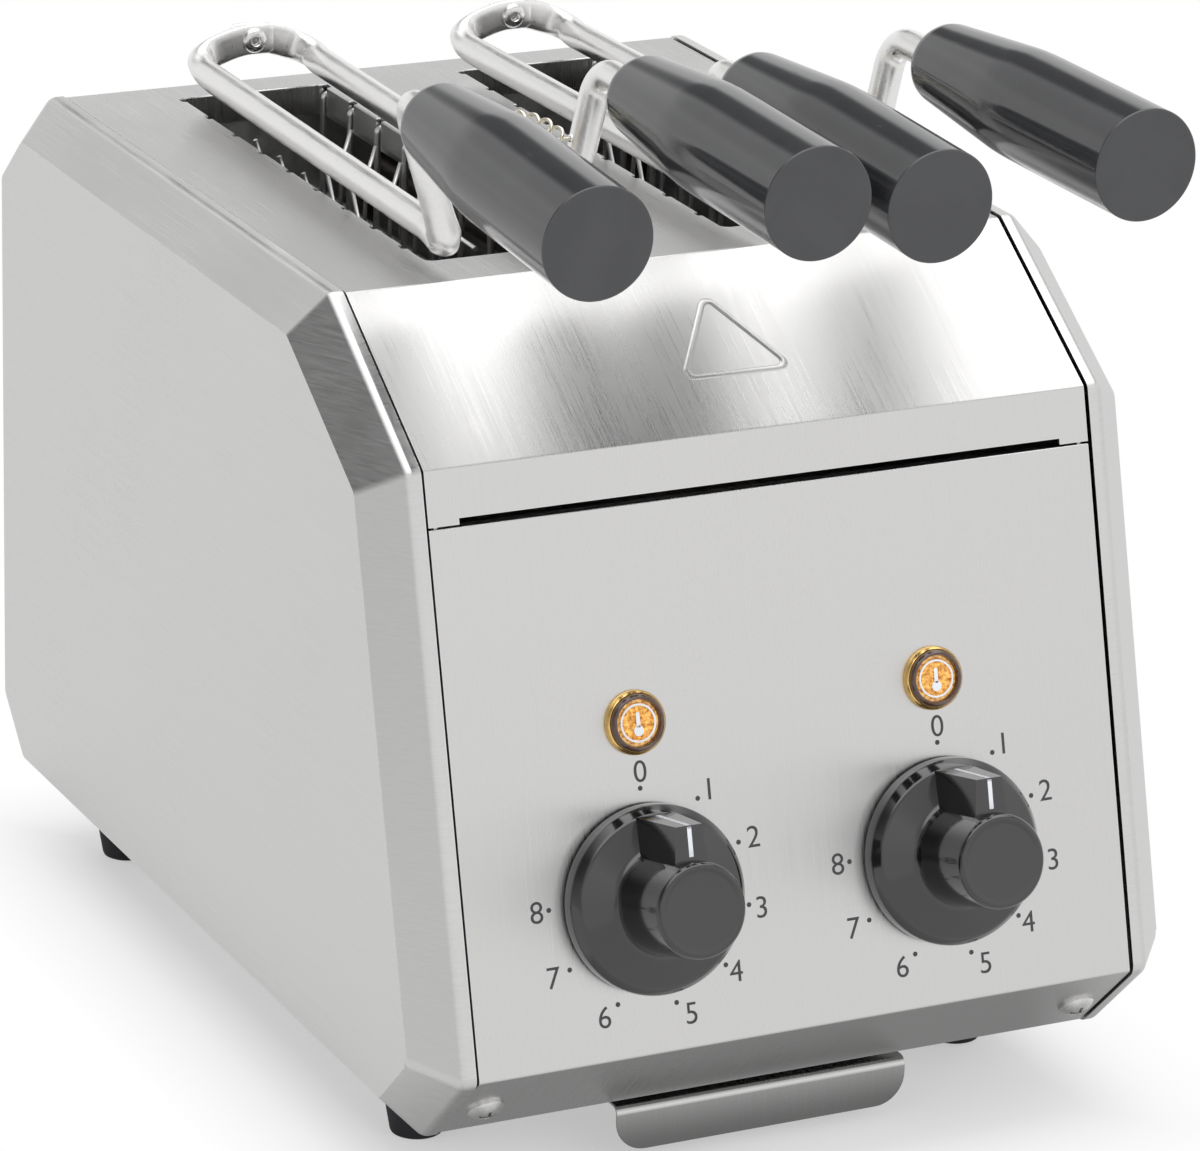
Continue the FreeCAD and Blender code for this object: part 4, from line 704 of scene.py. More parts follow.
def sweep(bm, path, first_side, section, steps=24):
    """Closed bar along a path. section(index, angle) gives sideways and upward reach."""
    rings = []
    for index, (point, side, rise) in enumerate(frames_along(path, first_side)):
        ring = []
        for step in range(steps):
            out, up = section(index, 2 * math.pi * step / steps)
            ring.append(bm.verts.new(point + side * out + rise * up))
        rings.append(ring)
    for low, high in zip(rings[:-1], rings[1:]):
        bridge(bm, low, high)
    bm.faces.new(list(reversed(rings[0])))
    bm.faces.new(rings[-1])


def block(bm, corners):
    """Closed solid from eight corners: four below, the four above them."""
    verts = add_ring(bm, corners)
    for loop in ((3, 2, 1, 0), (4, 5, 6, 7), (0, 1, 5, 4), (1, 2, 6, 5), (2, 3, 7, 6),
                 (3, 0, 4, 7)):
        bm.faces.new([verts[i] for i in loop])


def cross_bar(bm, matrix, half, low, high):
    """Bar across X between two levels, each given as its near and far Y and its Z."""
    block(bm, [matrix @ Vector((x, y, z)) for near, far, z in (low, high)
               for x, y in ((-half, near), (half, near), (half, far), (-half, far))])


def soften(bm, radius, segments=2, least_angle=30.0, chosen=None):
    """Round the edges that turn by more than an angle."""
    edges = [edge for edge in bm.edges if len(edge.link_faces) == 2
             and edge.calc_face_angle(0) > math.radians(least_angle)
             and (chosen is None or chosen(edge))]
    if edges:
        bmesh.ops.bevel(bm, geom=edges, offset=radius, offset_type="OFFSET", segments=segments,
                        profile=0.5, affect="EDGES", clamp_overlap=True)


def comb(mesh):
    """Put the centre of the mesh's texture space far behind, so that reflections stretch
    evenly along X."""
    mesh.use_auto_texspace = False
    mesh.texspace_location = (0, 50, 0)
    mesh.texspace_size = (1, 1, 1)


def add_piece(name, bm, slot, nodes=(), body=None, finish=None, sharp=38.0, scale=MM):
    """Turn a finished bmesh in millimetres into a piece that rides on its body."""
    if scale != 1:
        bmesh.ops.scale(bm, vec=(scale, scale, scale), verts=bm.verts)
    bmesh.ops.recalc_face_normals(bm, faces=bm.faces)
    mesh = bpy.data.meshes.new(name)
    bm.to_mesh(mesh)
    bm.free()
    if not mesh.polygons:
        raise RuntimeError("no faces in " + name)
    mesh.shade_smooth()
    mesh.set_sharp_from_angle(angle=math.radians(sharp))
    mesh.materials.append(finish_of(finish or slot))
    comb(mesh)
    piece = bpy.data.objects.new(name, mesh)
    bpy.context.scene.collection.objects.link(piece)
    weighted = piece.modifiers.new("Even shading", "WEIGHTED_NORMAL")
    weighted.keep_sharp = True
    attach(piece, body or frame["nodes"][nodes[0]]["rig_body"])
    if nodes:
        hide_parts(*nodes)
    return piece


def dressed(node, slot, radius=None, finish=None, folds=False, rims=False):
    """A copy of a frame node with flat faces made whole and its edges rounded."""
    bm = bmesh.new()
    bm.from_mesh(frame["nodes"][node].data)
    bmesh.ops.remove_doubles(bm, verts=bm.verts, dist=1e-6)
    bmesh.ops.dissolve_limit(bm, angle_limit=math.radians(0.4), verts=bm.verts, edges=bm.edges,
                             use_dissolve_boundaries=False)
    if folds:
        def is_fold(edge):
            run = edge.verts[1].co - edge.verts[0].co
            return run.length > 0.06 and abs(run.x) > 0.99 * run.length
        soften(bm, sizes().fold_radius, 3, 12.0, is_fold)
    if rims:
        soften(bm, sizes().rim_radius, 4, 30.0, is_slot_rim)
    if radius:
        soften(bm, radius)
    add_piece(node + "_piece", bm, slot, (node,), finish=finish, scale=1)


def is_slot_rim(edge):
    """Whether an edge in metres runs round a slot in the upper face of the top."""
    middle = (edge.verts[0].co + edge.verts[1].co) / 2
    inward = abs(abs(middle.x) / MM - SLOT_X) < RIM_HALF_WIDTH
    return middle.z / MM > RIM_Z and inward and RIM_Y[0] < middle.y / MM < RIM_Y[1]


def sheet_matrix(foot, up_way, out_way, x, up, out):
    """Places a shape built with X right, Y up a leaning sheet and Z out of it."""
    origin = foot + up_way * up + out_way * out + Vector((x, 0, 0))
    return Matrix((
        (1, 0, 0, origin.x), (0, up_way.y, out_way.y, origin.y),
        (0, up_way.z, out_way.z, origin.z), (0, 0, 0, 1)))


def panel_matrix(x, up, out=0.0):
    return sheet_matrix(PANEL_FOLD, PANEL_UP, PANEL_OUT, x, up, out)


def axis_matrix(start, direction):
    """Places a shape built along Z so that it starts at a point and runs in a direction."""
    turn = Vector((0, 0, 1)).rotation_difference(direction).to_matrix().to_4x4()
    return Matrix.Translation(start) @ turn


def tong_matrix(word, side):
    """Puts a tong built about X = 0 into its slot."""
    pivot = Matrix.Translation((0, TONG_TURN_Y, 0))
    turn = Matrix.Rotation(math.radians(TONG_TURN[word]), 4, "Z")
    shift = Matrix.Translation((side * SLOT_X + TONG_SHIFT[word], 0, 0))
    return shift @ pivot @ turn @ pivot.inverted()


# Body

class TOASTER_OT_side_shells(Operator):
    """Pressed side shells: flat face, bevel with soft mitres, narrow lip"""
    bl_idname = "toaster.side_shells"
    bl_label = "Side shells"

    def execute(self, context):
        corners = [Vector((at_depth(depth), GROUND_GAP + rise)) for depth, rise in OUTLINE]
        corner = sizes().shell_corner / MM
        lean = SHELL_SHEET * math.tan(math.radians(22.5))
        inner = corner - SHELL_SHEET
        stations = (
            (SHELL_LIP_X, 0.0, corner), (SHELL_RIDGE_X, 0.0, corner),
            (SHELL_FACE_X, SHELL_BEVEL, corner * 0.75),
            (SHELL_FACE_X - SHELL_SHEET, SHELL_BEVEL + lean, corner * 0.7),
            (SHELL_RIDGE_X - lean, SHELL_SHEET, inner), (SHELL_LIP_X, SHELL_SHEET, inner))
        for word, side in HANDS:
            bm = bmesh.new()
            rings = []
            for x, distance, radius in stations:
                ring = rounded_corners(inset(corners, distance), radius, 5)
                rings.append(add_ring(bm, [(side * x, p.x, p.y) for p in ring]))
            bridge(bm, rings[0], rings[1])
            bridge(bm, rings[1], rings[2])
            bm.faces.new(rings[2])
            bridge(bm, rings[3], rings[4])
            bridge(bm, rings[4], rings[5])
            bm.faces.new(rings[3])
            bridge(bm, rings[5], rings[0])
            ridge = {(a, b) for ring in (rings[1], rings[2]) for a, b in
                     zip(ring, ring[1:] + ring[:1])}
            ridge |= {(b, a) for a, b in ridge}
            edges = [e for e in bm.edges if (e.verts[0], e.verts[1]) in ridge]
            bmesh.ops.bevel(bm, geom=edges, offset=SHELL_FOLD, offset_type="OFFSET", segments=4,
                            profile=0.5, affect="EDGES")
            add_piece("side_shell_" + word + "_piece", bm, "brushed_stainless",
                      ("side_shell_" + word,), finish="shell_stainless")
        return {"FINISHED"}


class TOASTER_OT_sheets(Operator):
    """Folded sheets: top casing, control panel, rear panel, tray and the sheets inside"""
    bl_idname = "toaster.sheets"
    bl_label = "Folded sheets"

    def execute(self, context):
        edge = sizes().edge_radius
        for node in ("top_casing", "control_panel", "rear_panel"):
            dressed(node, "brushed_stainless", edge, folds=True, rims=node == "top_casing")
        dressed("crumb_tray", "plain_steel", edge, finish="tray_stainless")
        for node in ("side_plate_left", "side_plate_right", "base_plate", "tray_rails",
                     "front_partition", "rear_partition", "shell_spacers"):
            dressed(node, "plain_steel", edge)
        for node in ("reflector_left", "reflector_centre", "reflector_right"):
            dressed(node, "bright_reflector", edge)
        return {"FINISHED"}


class TOASTER_OT_slope_mark(Operator):
    """Plain raised triangle pressed into the slope"""
    bl_idname = "toaster.slope_mark"
    bl_label = "Slope mark"

    def execute(self, context):
        bm = bmesh.new()
        outline = (Vector((-17.6, 18.7)), Vector((18.9, 18.7)), Vector((1.2, 49.6)))
        rises = ((0.0, -0.3, 3.0), (0.15, 0.06, 2.9), (0.45, 0.32, 2.7), (0.9, 0.45, 2.4),
                 (1.3, 0.45, 2.1), (1.75, 0.32, 1.8), (2.05, 0.06, 1.5), (2.2, -0.3, 1.4))
        rings = []
        for distance, height, radius in rises:
            ring = rounded_corners(inset(outline, distance), radius, 6)
            matrix = sheet_matrix(SLOPE_FOOT, SLOPE_UP, SLOPE_OUT, 0, 0, height)
            rings.append(add_ring(bm, [matrix @ Vector((p.x, p.y, 0)) for p in ring]))
        for low, high in zip(rings, rings[1:] + rings[:1]):
            bridge(bm, low, high)
        add_piece("slope_mark", bm, "brushed_stainless", body="casing", sharp=80.0)
        return {"FINISHED"}


class TOASTER_OT_screws(Operator):
    """Screws, rubber feet, cable gland and nut"""
    bl_idname = "toaster.screws"
    bl_label = "Screws and feet"

    def execute(self, context):
        for node in ("front_screws", "rear_screws", "foot_screws"):
            dressed(node, "rivet_steel", 0.00012)
        bm = bmesh.new()
        profile = ((2.1, 21.4), (2.1, 12.0), (5.0, 12.0), (5.0, 0.3), (5.3, 0.0), (6.6, 0.0),
                   (7.3, 0.35), (7.6, 1.0), (9.2, 10.4), (9.25, 11.2), (9.6, 11.9),
                   (10.9, 20.4), (10.9, 21.4))
        for depth in FOOT_DEPTHS:
            for side in (-1, 1):
                spot = Matrix.Translation((side * FOOT_X, at_depth(depth), 0))
                lathe(bm, profile, spot, 64)
        add_piece("feet_piece", bm, "foot_rubber", ("feet",))
        dressed("cable_gland", "black_plastic", 0.0003)
        dressed("gland_nut", "black_plastic", 0.0003)
        return {"FINISHED"}


# Controls

class TOASTER_OT_knobs(Operator):
    """Rotary knobs with skirt, boss, pointer wing and white line"""
    bl_idname = "toaster.knobs"
    bl_label = "Knobs"

    def execute(self, context):
        skirt = ((0, 1.2), (25.6, 1.2), (26.0, 1.6), (26.0, 5.1), (25.75, 5.75), (24.3, 7.6),
                 (23.8, 8.0), (23.2, 8.15), (16.2, 9.9), (14.9, 10.5), (14.3, 11.6),
                 (13.1, 31.4), (12.95, 32.2), (12.5, 32.8), (11.9, 33.0), (11.0, 32.86),
                 (10.4, 32.7), (0, 32.6))
        for word, side in HANDS:
            place = panel_matrix(side * DIAL_X, DIAL_UP)
            bm = bmesh.new()
            lathe(bm, skirt, place)
            wing = bmesh.new()
            levels = ((8.2, 6.0, WING_FOOT_REACH, WING_FOOT), (6.2, 3.9, WING_TOP_REACH, WING_TOP))
            block(wing, [place @ Vector((x, y, z)) for root, tip, reach, z in levels
                         for x, y in ((-root, 0), (root, 0), (tip, reach), (-tip, reach))])
            soften(wing, 0.7, 3)
            wing_mesh = bpy.data.meshes.new("wing")
            wing.to_mesh(wing_mesh)
            wing.free()
            bm.from_mesh(wing_mesh)
            bpy.data.meshes.remove(wing_mesh)
            add_piece("knob_" + word + "_piece", bm, "black_plastic", ("knob_" + word,))
            line = bmesh.new()
            for low, high in (
                    ((14.2, 22.2, WING_TOP - 0.2), (14.2, 22.2, WING_TOP + LINE_PROUD)),
                    (wing_end(9.6), wing_end(28.4)),
                    ((21.9, 22.66, 28.0), (21.9, 22.28, WING_TOP + LINE_PROUD))):
                cross_bar(line, place, LINE_HALF, low, high)
            add_piece("knob_" + word + "_line", line, "cream_plastic", body="knob_" + word,
                      finish="white_print")
        return {"FINISHED"}


def wing_end(z):
    """Near and far Y of the white line down the end of a knob's wing, and its Z."""
    lean = (WING_FOOT_REACH - WING_TOP_REACH) / (WING_TOP - WING_FOOT)
    y = WING_TOP_REACH + (WING_TOP - z) * lean
    return y - LINE_SUNK, y + LINE_PROUD, z


class TOASTER_OT_dial_print(Operator):
    """Dots and numerals printed round each dial"""
    bl_idname = "toaster.dial_print"
    bl_label = "Dial print"

    def execute(self, context):
        spots = ((-45.0, 77.2), (-25.0, 69.6), (-13.0, 54.8), (-12.3, 35.2), (-21.6, 18.9),
                 (-36.0, 9.5), (-61.8, 12.3), (-75.7, 25.2), (-79.0, 43.5))
        bm = bmesh.new()
        height = sizes().numeral_height / MM
        radius = sizes().dot_radius / MM
        root = -0.1
        dot = ((0, 0), (radius, 0), (radius, PRINT_PROUD - root), (0, PRINT_PROUD - root))
        for side in (-1, 1):
            for number, (x, up) in enumerate(spots):
                angle = math.radians(DIAL_STEP * number)
                centre = panel_matrix(side * DIAL_X + DIAL_RADIUS * math.sin(angle),
                                      DIAL_UP + DIAL_RADIUS * math.cos(angle), root)
                lathe(bm, dot, centre, 24)
                add_numeral(bm, str(number), height,
                            panel_matrix(x + DIAL_X + side * DIAL_X, up, PRINT_PROUD))
        add_piece("dial_print", bm, "black_plastic", body="casing", finish="dial_print")
        return {"FINISHED"}


def add_numeral(bm, text, height, matrix):
    """One centred numeral, as thin closed solids."""
    curve = bpy.data.curves.new("numeral", "FONT")
    curve.body = text
    curve.align_x = "CENTER"
    curve.align_y = "CENTER"
    curve.size = height / NUMERAL_SHARE
    curve.extrude = PRINT_HALF
    curve.resolution_u = 6
    curve.offset = -0.03
    holder = bpy.data.objects.new("numeral", curve)
    bpy.context.scene.collection.objects.link(holder)
    bpy.context.view_layer.update()
    shape = bpy.data.meshes.new_from_object(holder)
    across = [vertex.co.x for vertex in shape.vertices]
    rises = [vertex.co.y for vertex in shape.vertices]
    centring = Matrix.Translation((
        -(min(across) + max(across)) / 2, -(min(rises) + max(rises)) / 2, 0))
    shape.transform(matrix @ centring)
    bm.from_mesh(shape)
    bpy.data.objects.remove(holder)
    bpy.data.curves.remove(curve)
    bpy.data.meshes.remove(shape)


class TOASTER_OT_lamps(Operator):
    """Indicator lamps: gold rim, brown ring, faceted amber lens with a temperature sign"""
    bl_idname = "toaster.lamps"
    bl_label = "Lamps"

    def execute(self, context):
        rim = bmesh.new()
        ring = bmesh.new()
        lens = bmesh.new()
        mark = bmesh.new()
        for side in (-1, 1):
            place = panel_matrix(side * DIAL_X, LAMP_UP)
            lathe(rim, ((5.6, -1.0), (6.0, -20.0), (6.0, 0.0), (8.7, 0.0), (8.88, 0.2),
                        (8.88, 0.9), (8.6, 1.7), (8.2, 2.0), (7.8, 1.8), (7.6, -0.9)), place)
            lathe(ring, ((6.1, 0.2), (7.9, 0.2), (7.9, 2.2), (7.7, 2.9), (7.3, 3.35),
                         (6.95, 3.45), (6.6, 3.3), (6.35, 2.7)), place)
            facet_lens(lens, place, 6.35, 0.92, 1.7, 0.55)
            low, high = 2.35, 2.6
            lathe(mark, ((4.75, low), (4.75, high), (5.3, high), (5.3, low)), place, 64)
            cross_bar(mark, place, 0.55, (-1.2, 2.9, low), (-1.2, 2.9, high))
            disc = place @ Matrix.Translation((0, -2.1, 0))
            lathe(mark, ((0, low), (1.45, low), (1.45, high), (0, high)), disc, 32)
        add_piece("lamp_rims", rim, "lamp_brass", ("lamp_bodies",))
        add_piece("lamp_lenses_piece", lens, "lamp_amber", ("lamp_lenses",), sharp=10.0)
        add_piece("lamp_rings", ring, "lamp_amber", body="casing", finish="lamp_brown")
        add_piece("lamp_marks", mark, "cream_plastic", body="casing", finish="white_print")
        return {"FINISHED"}


def facet_lens(bm, place, radius, pitch, base, height):
    """A round field of small pyramids on a solid disc."""
    count = int(radius / pitch) + 1
    for row in range(-count, count):
        for column in range(-count, count):
            x, y = column * pitch, row * pitch
            if math.hypot(x + pitch / 2, y + pitch / 2) > radius - pitch * 0.55:
                continue
            corners = [(x, y), (x + pitch, y), (x + pitch, y + pitch), (x, y + pitch)]
            low = [bm.verts.new(place @ Vector((cx, cy, base))) for cx, cy in corners]
            tip = bm.verts.new(place @ Vector((x + pitch / 2, y + pitch / 2, base + height)))
            bm.faces.new(low[::-1])
            for index in range(4):
                bm.faces.new((low[index], low[(index + 1) % 4], tip))
    lathe(bm, ((0, 0.1), (radius, 0.1), (radius, base + 0.02), (0, base + 0.02)), place, 64)


class TOASTER_OT_inner_parts(Operator):
    """Heaters, regulators, shafts, wiring and the other parts inside"""
    bl_idname = "toaster.inner_parts"
    bl_label = "Parts inside"

    def execute(self, context):
        for word in ("left_outer", "left_inner", "right_inner", "right_outer"):
            dressed("heater_" + word, "heater_sheath")
            dressed("guard_" + word, "chromed_wire")
        dressed("slot_cross_wires", "chromed_wire")
        dressed("heater_supports", "plain_steel", 0.0001)
        dressed("heater_bushes", "ceramic_white", 0.0002)
        dressed("terminal_block", "cream_plastic", 0.0003)
        dressed("internal_wiring", "wire_sleeve")
        for word in ("left", "right"):
            dressed("regulator_" + word, "black_plastic", 0.0002)
            dressed("regulator_shaft_" + word, "shaft_steel", 0.0002)
        return {"FINISHED"}


# Tongs

def handle_ends(hand):
    """Front and rear end of a handle's axis, in the tong's own place."""
    return [Vector((hand * x, y, z + hand * skew))
            for x, y, z, skew in (HANDLE_FRONT, HANDLE_REAR)]


def elbow_spot(hand):
    return Vector((hand * ARM_X, ELBOW_Y + hand * ARM_SKEW, ARM_Z - ELBOW_DROP))


def rod_top(hand):
    """Where the leaning rod meets the line of its handle."""
    front, rear = handle_ends(hand)
    share = (elbow_spot(hand).y + ROD_LEAN - front.y) / (rear.y - front.y)
    return front + (rear - front) * share


def arm_path(hand):
    """Points along an arm from the tip of its band to inside its handle, and its elbow's point."""
    front, rear = handle_ends(hand)
    elbow = elbow_spot(hand)
    band_y = PIVOT_Y + hand * BAND_LAYER
    bar_end = Vector((hand * ARM_X, elbow.y + 12, ARM_Z))
    plan = [Vector((-hand * BAND_TIP, band_y, ARM_Z)), Vector((hand * ARM_X, band_y, ARM_Z)),
            bar_end]
    path = []
    walked = -BAND_TIP
    before = plan[0]
    for point in divided(rounded_corners(plan, BAND_BEND, 12, closed=False), 1.4):
        walked += (point - before).length
        before = point
        share = min(1.0, max(0.0, walked / BAND_DESCENT))
        rise = (PIVOT_Z - ARM_Z) * (0.5 + 0.5 * math.cos(math.pi * share))
        path.append(point + Vector((0, 0, rise)))
    top = rod_top(hand)
    first = elbow + (top - elbow).normalized() * 12
    around = rounded_corners([bar_end, elbow, first], 1.2, 6, closed=False)
    path += divided(around, 0.6)[1:]
    grip = rear + (front - rear).normalized() * 40.0
    shoulder = rounded_corners([first, top, grip], 7.5, 10, closed=False)
    path += divided(shoulder, 1.4)[1:]
    return path, elbow


def hump(distance, width):
    """1 at a place, falling smoothly towards 0 beyond a width on each side."""
    return math.exp(-(distance / width) ** 2)


def arm_mesh(bm, hand, place):
    """Arm whose flat band turns into a round bar, pinched where it bends up at the elbow."""
    path, elbow = arm_path(hand)
    lengths = [-BAND_TIP]
    for low, high in zip(path[:-1], path[1:]):
        lengths.append(lengths[-1] + (high - low).length)
    nearest = min(range(len(path)), key=lambda index: (path[index] - elbow).length)
    middle = lengths[nearest]

    def section(index, angle):
        along = lengths[index]
        away = along - middle
        share = min(1.0, max(0.0, (along - BAND_FLAT) / BAND_SPREAD))
        share = share * share * (3 - 2 * share)
        thick = BAND_HALF_THICKNESS + (ARM_RADIUS - BAND_HALF_THICKNESS) * share
        tall = BAND_HALF_HEIGHT + (ARM_RADIUS - BAND_HALF_HEIGHT) * share
        power = 0.62 + 0.38 * share
        out = math.copysign(abs(math.cos(angle)) ** power, math.cos(angle)) * thick
        up = math.copysign(abs(math.sin(angle)) ** power, math.sin(angle)) * tall
        if index == 0:
            return out * 0.75, up * 0.8
        # One side is drawn in past the bend of the band
        if math.cos(angle) * hand > 0:
            out *= 1 - 0.20 * hump(along - 21.0, 9.0) * abs(math.cos(angle)) ** 3
        # The elbow is wide, with a narrow crease across it
        out *= 1 + 0.15 * hump(away, 6.5) - 0.30 * hump(away, 0.8)
        # Its inner side is pinched, and its outer side bulges and thins further up
        if up * hand > 0:
            up *= min(1.0, (0.7 + 0.80 * abs(away)) / ARM_RADIUS)
        else:
            up *= 1 + 0.04 * hump(away, 4.0) - 0.10 * hump(away - 9, 6.0)
        return out, up

    sweep(bm, [place @ p for p in path], place.to_3x3() @ Vector((0, -1, 0)), section, 32)


class TOASTER_OT_tong_arms(Operator):
    """Bent tube arms with flattened bands, pinched elbows and spring seats"""
    bl_idname = "toaster.tong_arms"
    bl_label = "Tong arms"

    def execute(self, context):
        for word, side in HANDS:
            place = tong_matrix(word, side)
            for arm_word, hand in HANDS:
                bm = bmesh.new()
                arm_mesh(bm, hand, place)
                spot = spring_spot((1 + hand) / 2)
                spot.x = hand * SPRING_SEAT_X
                elbow, top = elbow_spot(hand), rod_top(hand)
                on_rod = elbow + (top - elbow) * ((spot.z - elbow.z) / (top.z - elbow.z))
                run = (on_rod - spot).length
                seat = place @ axis_matrix(spot, on_rod - spot)
                lathe(bm, ((0, 0), (0.9, 0), (1.2, 0.25), (1.3, 0.7), (1.3, run - 3.4),
                           (1.7, run - 2.4), (0, run - 2)), seat, 24)
                node = "tong_" + word + "_arm_" + arm_word
                add_piece(node + "_piece", bm, "satin_tube", (node,), sharp=50.0)
        return {"FINISHED"}


class TOASTER_OT_tong_handles(Operator):
    """Moulded handles: straight front, long taper, rounded rear end"""
    bl_idname = "toaster.tong_handles"
    bl_label = "Tong handles"

    def execute(self, context):
        for word, side in HANDS:
            place = tong_matrix(word, side)
            for arm_word, hand in HANDS:
                front, rear = handle_ends(hand)
                length = (rear - front).length
                profile = [(0, 0.12), (14.6, 0.0), (15.1, 0.04), (15.35, 0.18), (15.5, 0.5),
                           (15.5, 24.0), (15.5, 48.0), (15.46, 58.0), (15.3, 63.0),
                           (15.0, 67.0), (14.2, 76.0), (11.75, length - 4.5),
                           (11.35, length - 2.6), (10.6, length - 1.1), (9.4, length - 0.2),
                           (8.4, length), (HANDLE_BORE_RADIUS + 0.3, length),
                           (HANDLE_BORE_RADIUS, length - 0.6),
                           (HANDLE_BORE_RADIUS, length - HANDLE_BORE),
                           (0, length - HANDLE_BORE)]
                bm = bmesh.new()
                lathe(bm, profile, place @ axis_matrix(front, rear - front))
                node = "tong_" + word + "_handle_" + arm_word
                add_piece(node + "_piece", bm, "handle_plastic", (node,))
        return {"FINISHED"}


class TOASTER_OT_tong_fittings(Operator):
    """Rivets, cages and bowed springs of the tongs"""
    bl_idname = "toaster.tong_fittings"
    bl_label = "Tong fittings"

    def execute(self, context):
        for word, side in HANDS:
            place = tong_matrix(word, side)
            tong = "tong_" + word
            reach = RIVET_REACH
            profile = ((0, -reach - 0.5), (1.1, -reach - 0.5), (1.3, -reach - 1.35),
                       (1.6, -reach - 1.6), (2.4, -reach - 1.55), (3.2, -reach - 1.2),
                       (3.75, -reach - 0.6), (3.8, -reach), (2.0, -reach), (2.0, reach),
                       (3.6, reach), (3.55, reach + 0.6), (2.8, reach + 1.1),
                       (1.5, reach + 1.3), (0, reach + 1.3))
            bm = bmesh.new()
            lathe(bm, profile, place @ axis_matrix(Vector((0, PIVOT_Y, PIVOT_Z)),
                                                   Vector((0, 1, 0))), 48)
            add_piece(tong + "_rivet_piece", bm, "rivet_steel", (tong + "_rivet",))
            for arm_word in ("left", "right"):
                dressed(tong + "_cage_" + arm_word, "chromed_wire")
            spring_halves(word, place)
        return {"FINISHED"}


def spring_spot(share):
    """Point on the bowed coil; share runs from 0 at its left end to 1 at its right one."""
    half_angle = math.asin(SPRING_HALF_SPAN / SPRING_ARCH)
    angle = math.pi / 2 + half_angle * (1 - 2 * share)
    outward = Vector((math.cos(angle), 0, math.sin(angle)))
    middle = Vector((0, SPRING_Y, SPRING_TOP - SPRING_ARCH)) + outward * SPRING_ARCH
    turn = -math.pi / 2 - 2 * math.pi * SPRING_TURNS * share
    radial = outward * math.cos(turn) + Vector((0, 1, 0)) * math.sin(turn)
    return middle + radial * SPRING_COIL


def spring_line():
    """Points along the bowed coil from the left seat to the right one."""
    line = [spring_spot(step / SPRING_STEPS) for step in range(SPRING_STEPS + 1)]
    ends = []
    for point, hand in ((line[0], -1), (line[-1], 1)):
        ends.append([Vector((hand * (SPRING_SEAT_X + reach), point.y, point.z))
                     for reach in (0.6, -0.6, -1.4)])
    return ends[0] + line + ends[1][::-1]


def spring_halves(word, place):
    """Two halves of the coil, each from its middle to its own arm's seat, riding on no body."""
    line = spring_line()
    middle = len(line) // 2
    wire = sizes().spring_wire / MM
    tong = "tong_" + word
    for arm_word, part in (("left", line[:middle + 1]), ("right", line[middle:])):
        bm = bmesh.new()
        sweep(bm, [place @ p for p in part], Vector((0, 0, 1)),
              lambda index, angle: (wire * math.cos(angle), wire * math.sin(angle)), 10)
        piece = add_piece(tong + "_spring_" + arm_word + "_half", bm, "spring_steel",
                          (tong + "_spring",), sharp=60.0)
        piece.parent = None
        piece.matrix_world = Matrix.Identity(4)
        del piece["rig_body"]
        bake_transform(piece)


# Stage

class TOASTER_OT_stage(Operator):
    """Camera, floor, soft lamps and pale surroundings"""
    bl_idname = "toaster.stage"
    bl_label = "Stage"

    def execute(self, context):
        scene = context.scene
        scene.view_settings.view_transform = "Standard"
        camera_data = bpy.data.cameras.new("camera")
        camera = bpy.data.objects.new("camera", camera_data)
        scene.collection.objects.link(camera)
        scene.camera = camera
        camera_data.sensor_width = 36.0
        camera_data.lens = sizes().lens / MM
        camera_data.shift_x, camera_data.shift_y = CAMERA_SHIFT
        yaw, pitch, roll = (math.radians(angle) for angle in CAMERA_TURN)
        back = Vector((math.sin(yaw) * math.cos(pitch), -math.cos(yaw) * math.cos(pitch),
                       math.sin(pitch)))
        right = (-back).cross(Vector((0, 0, 1))).normalized()
        down = (-back).cross(right)
        turned_right = right * math.cos(roll) + down * math.sin(roll)
        turned_down = down * math.cos(roll) - right * math.sin(roll)
        camera.matrix_world = Matrix.Translation(CAMERA_PLACE) @ Matrix((
            turned_right, -turned_down, back)).transposed().to_4x4()
        add_floor(scene)
        add_world(scene)
        for lamp in LAMPS:
            add_lamp(*lamp)
        return {"FINISHED"}


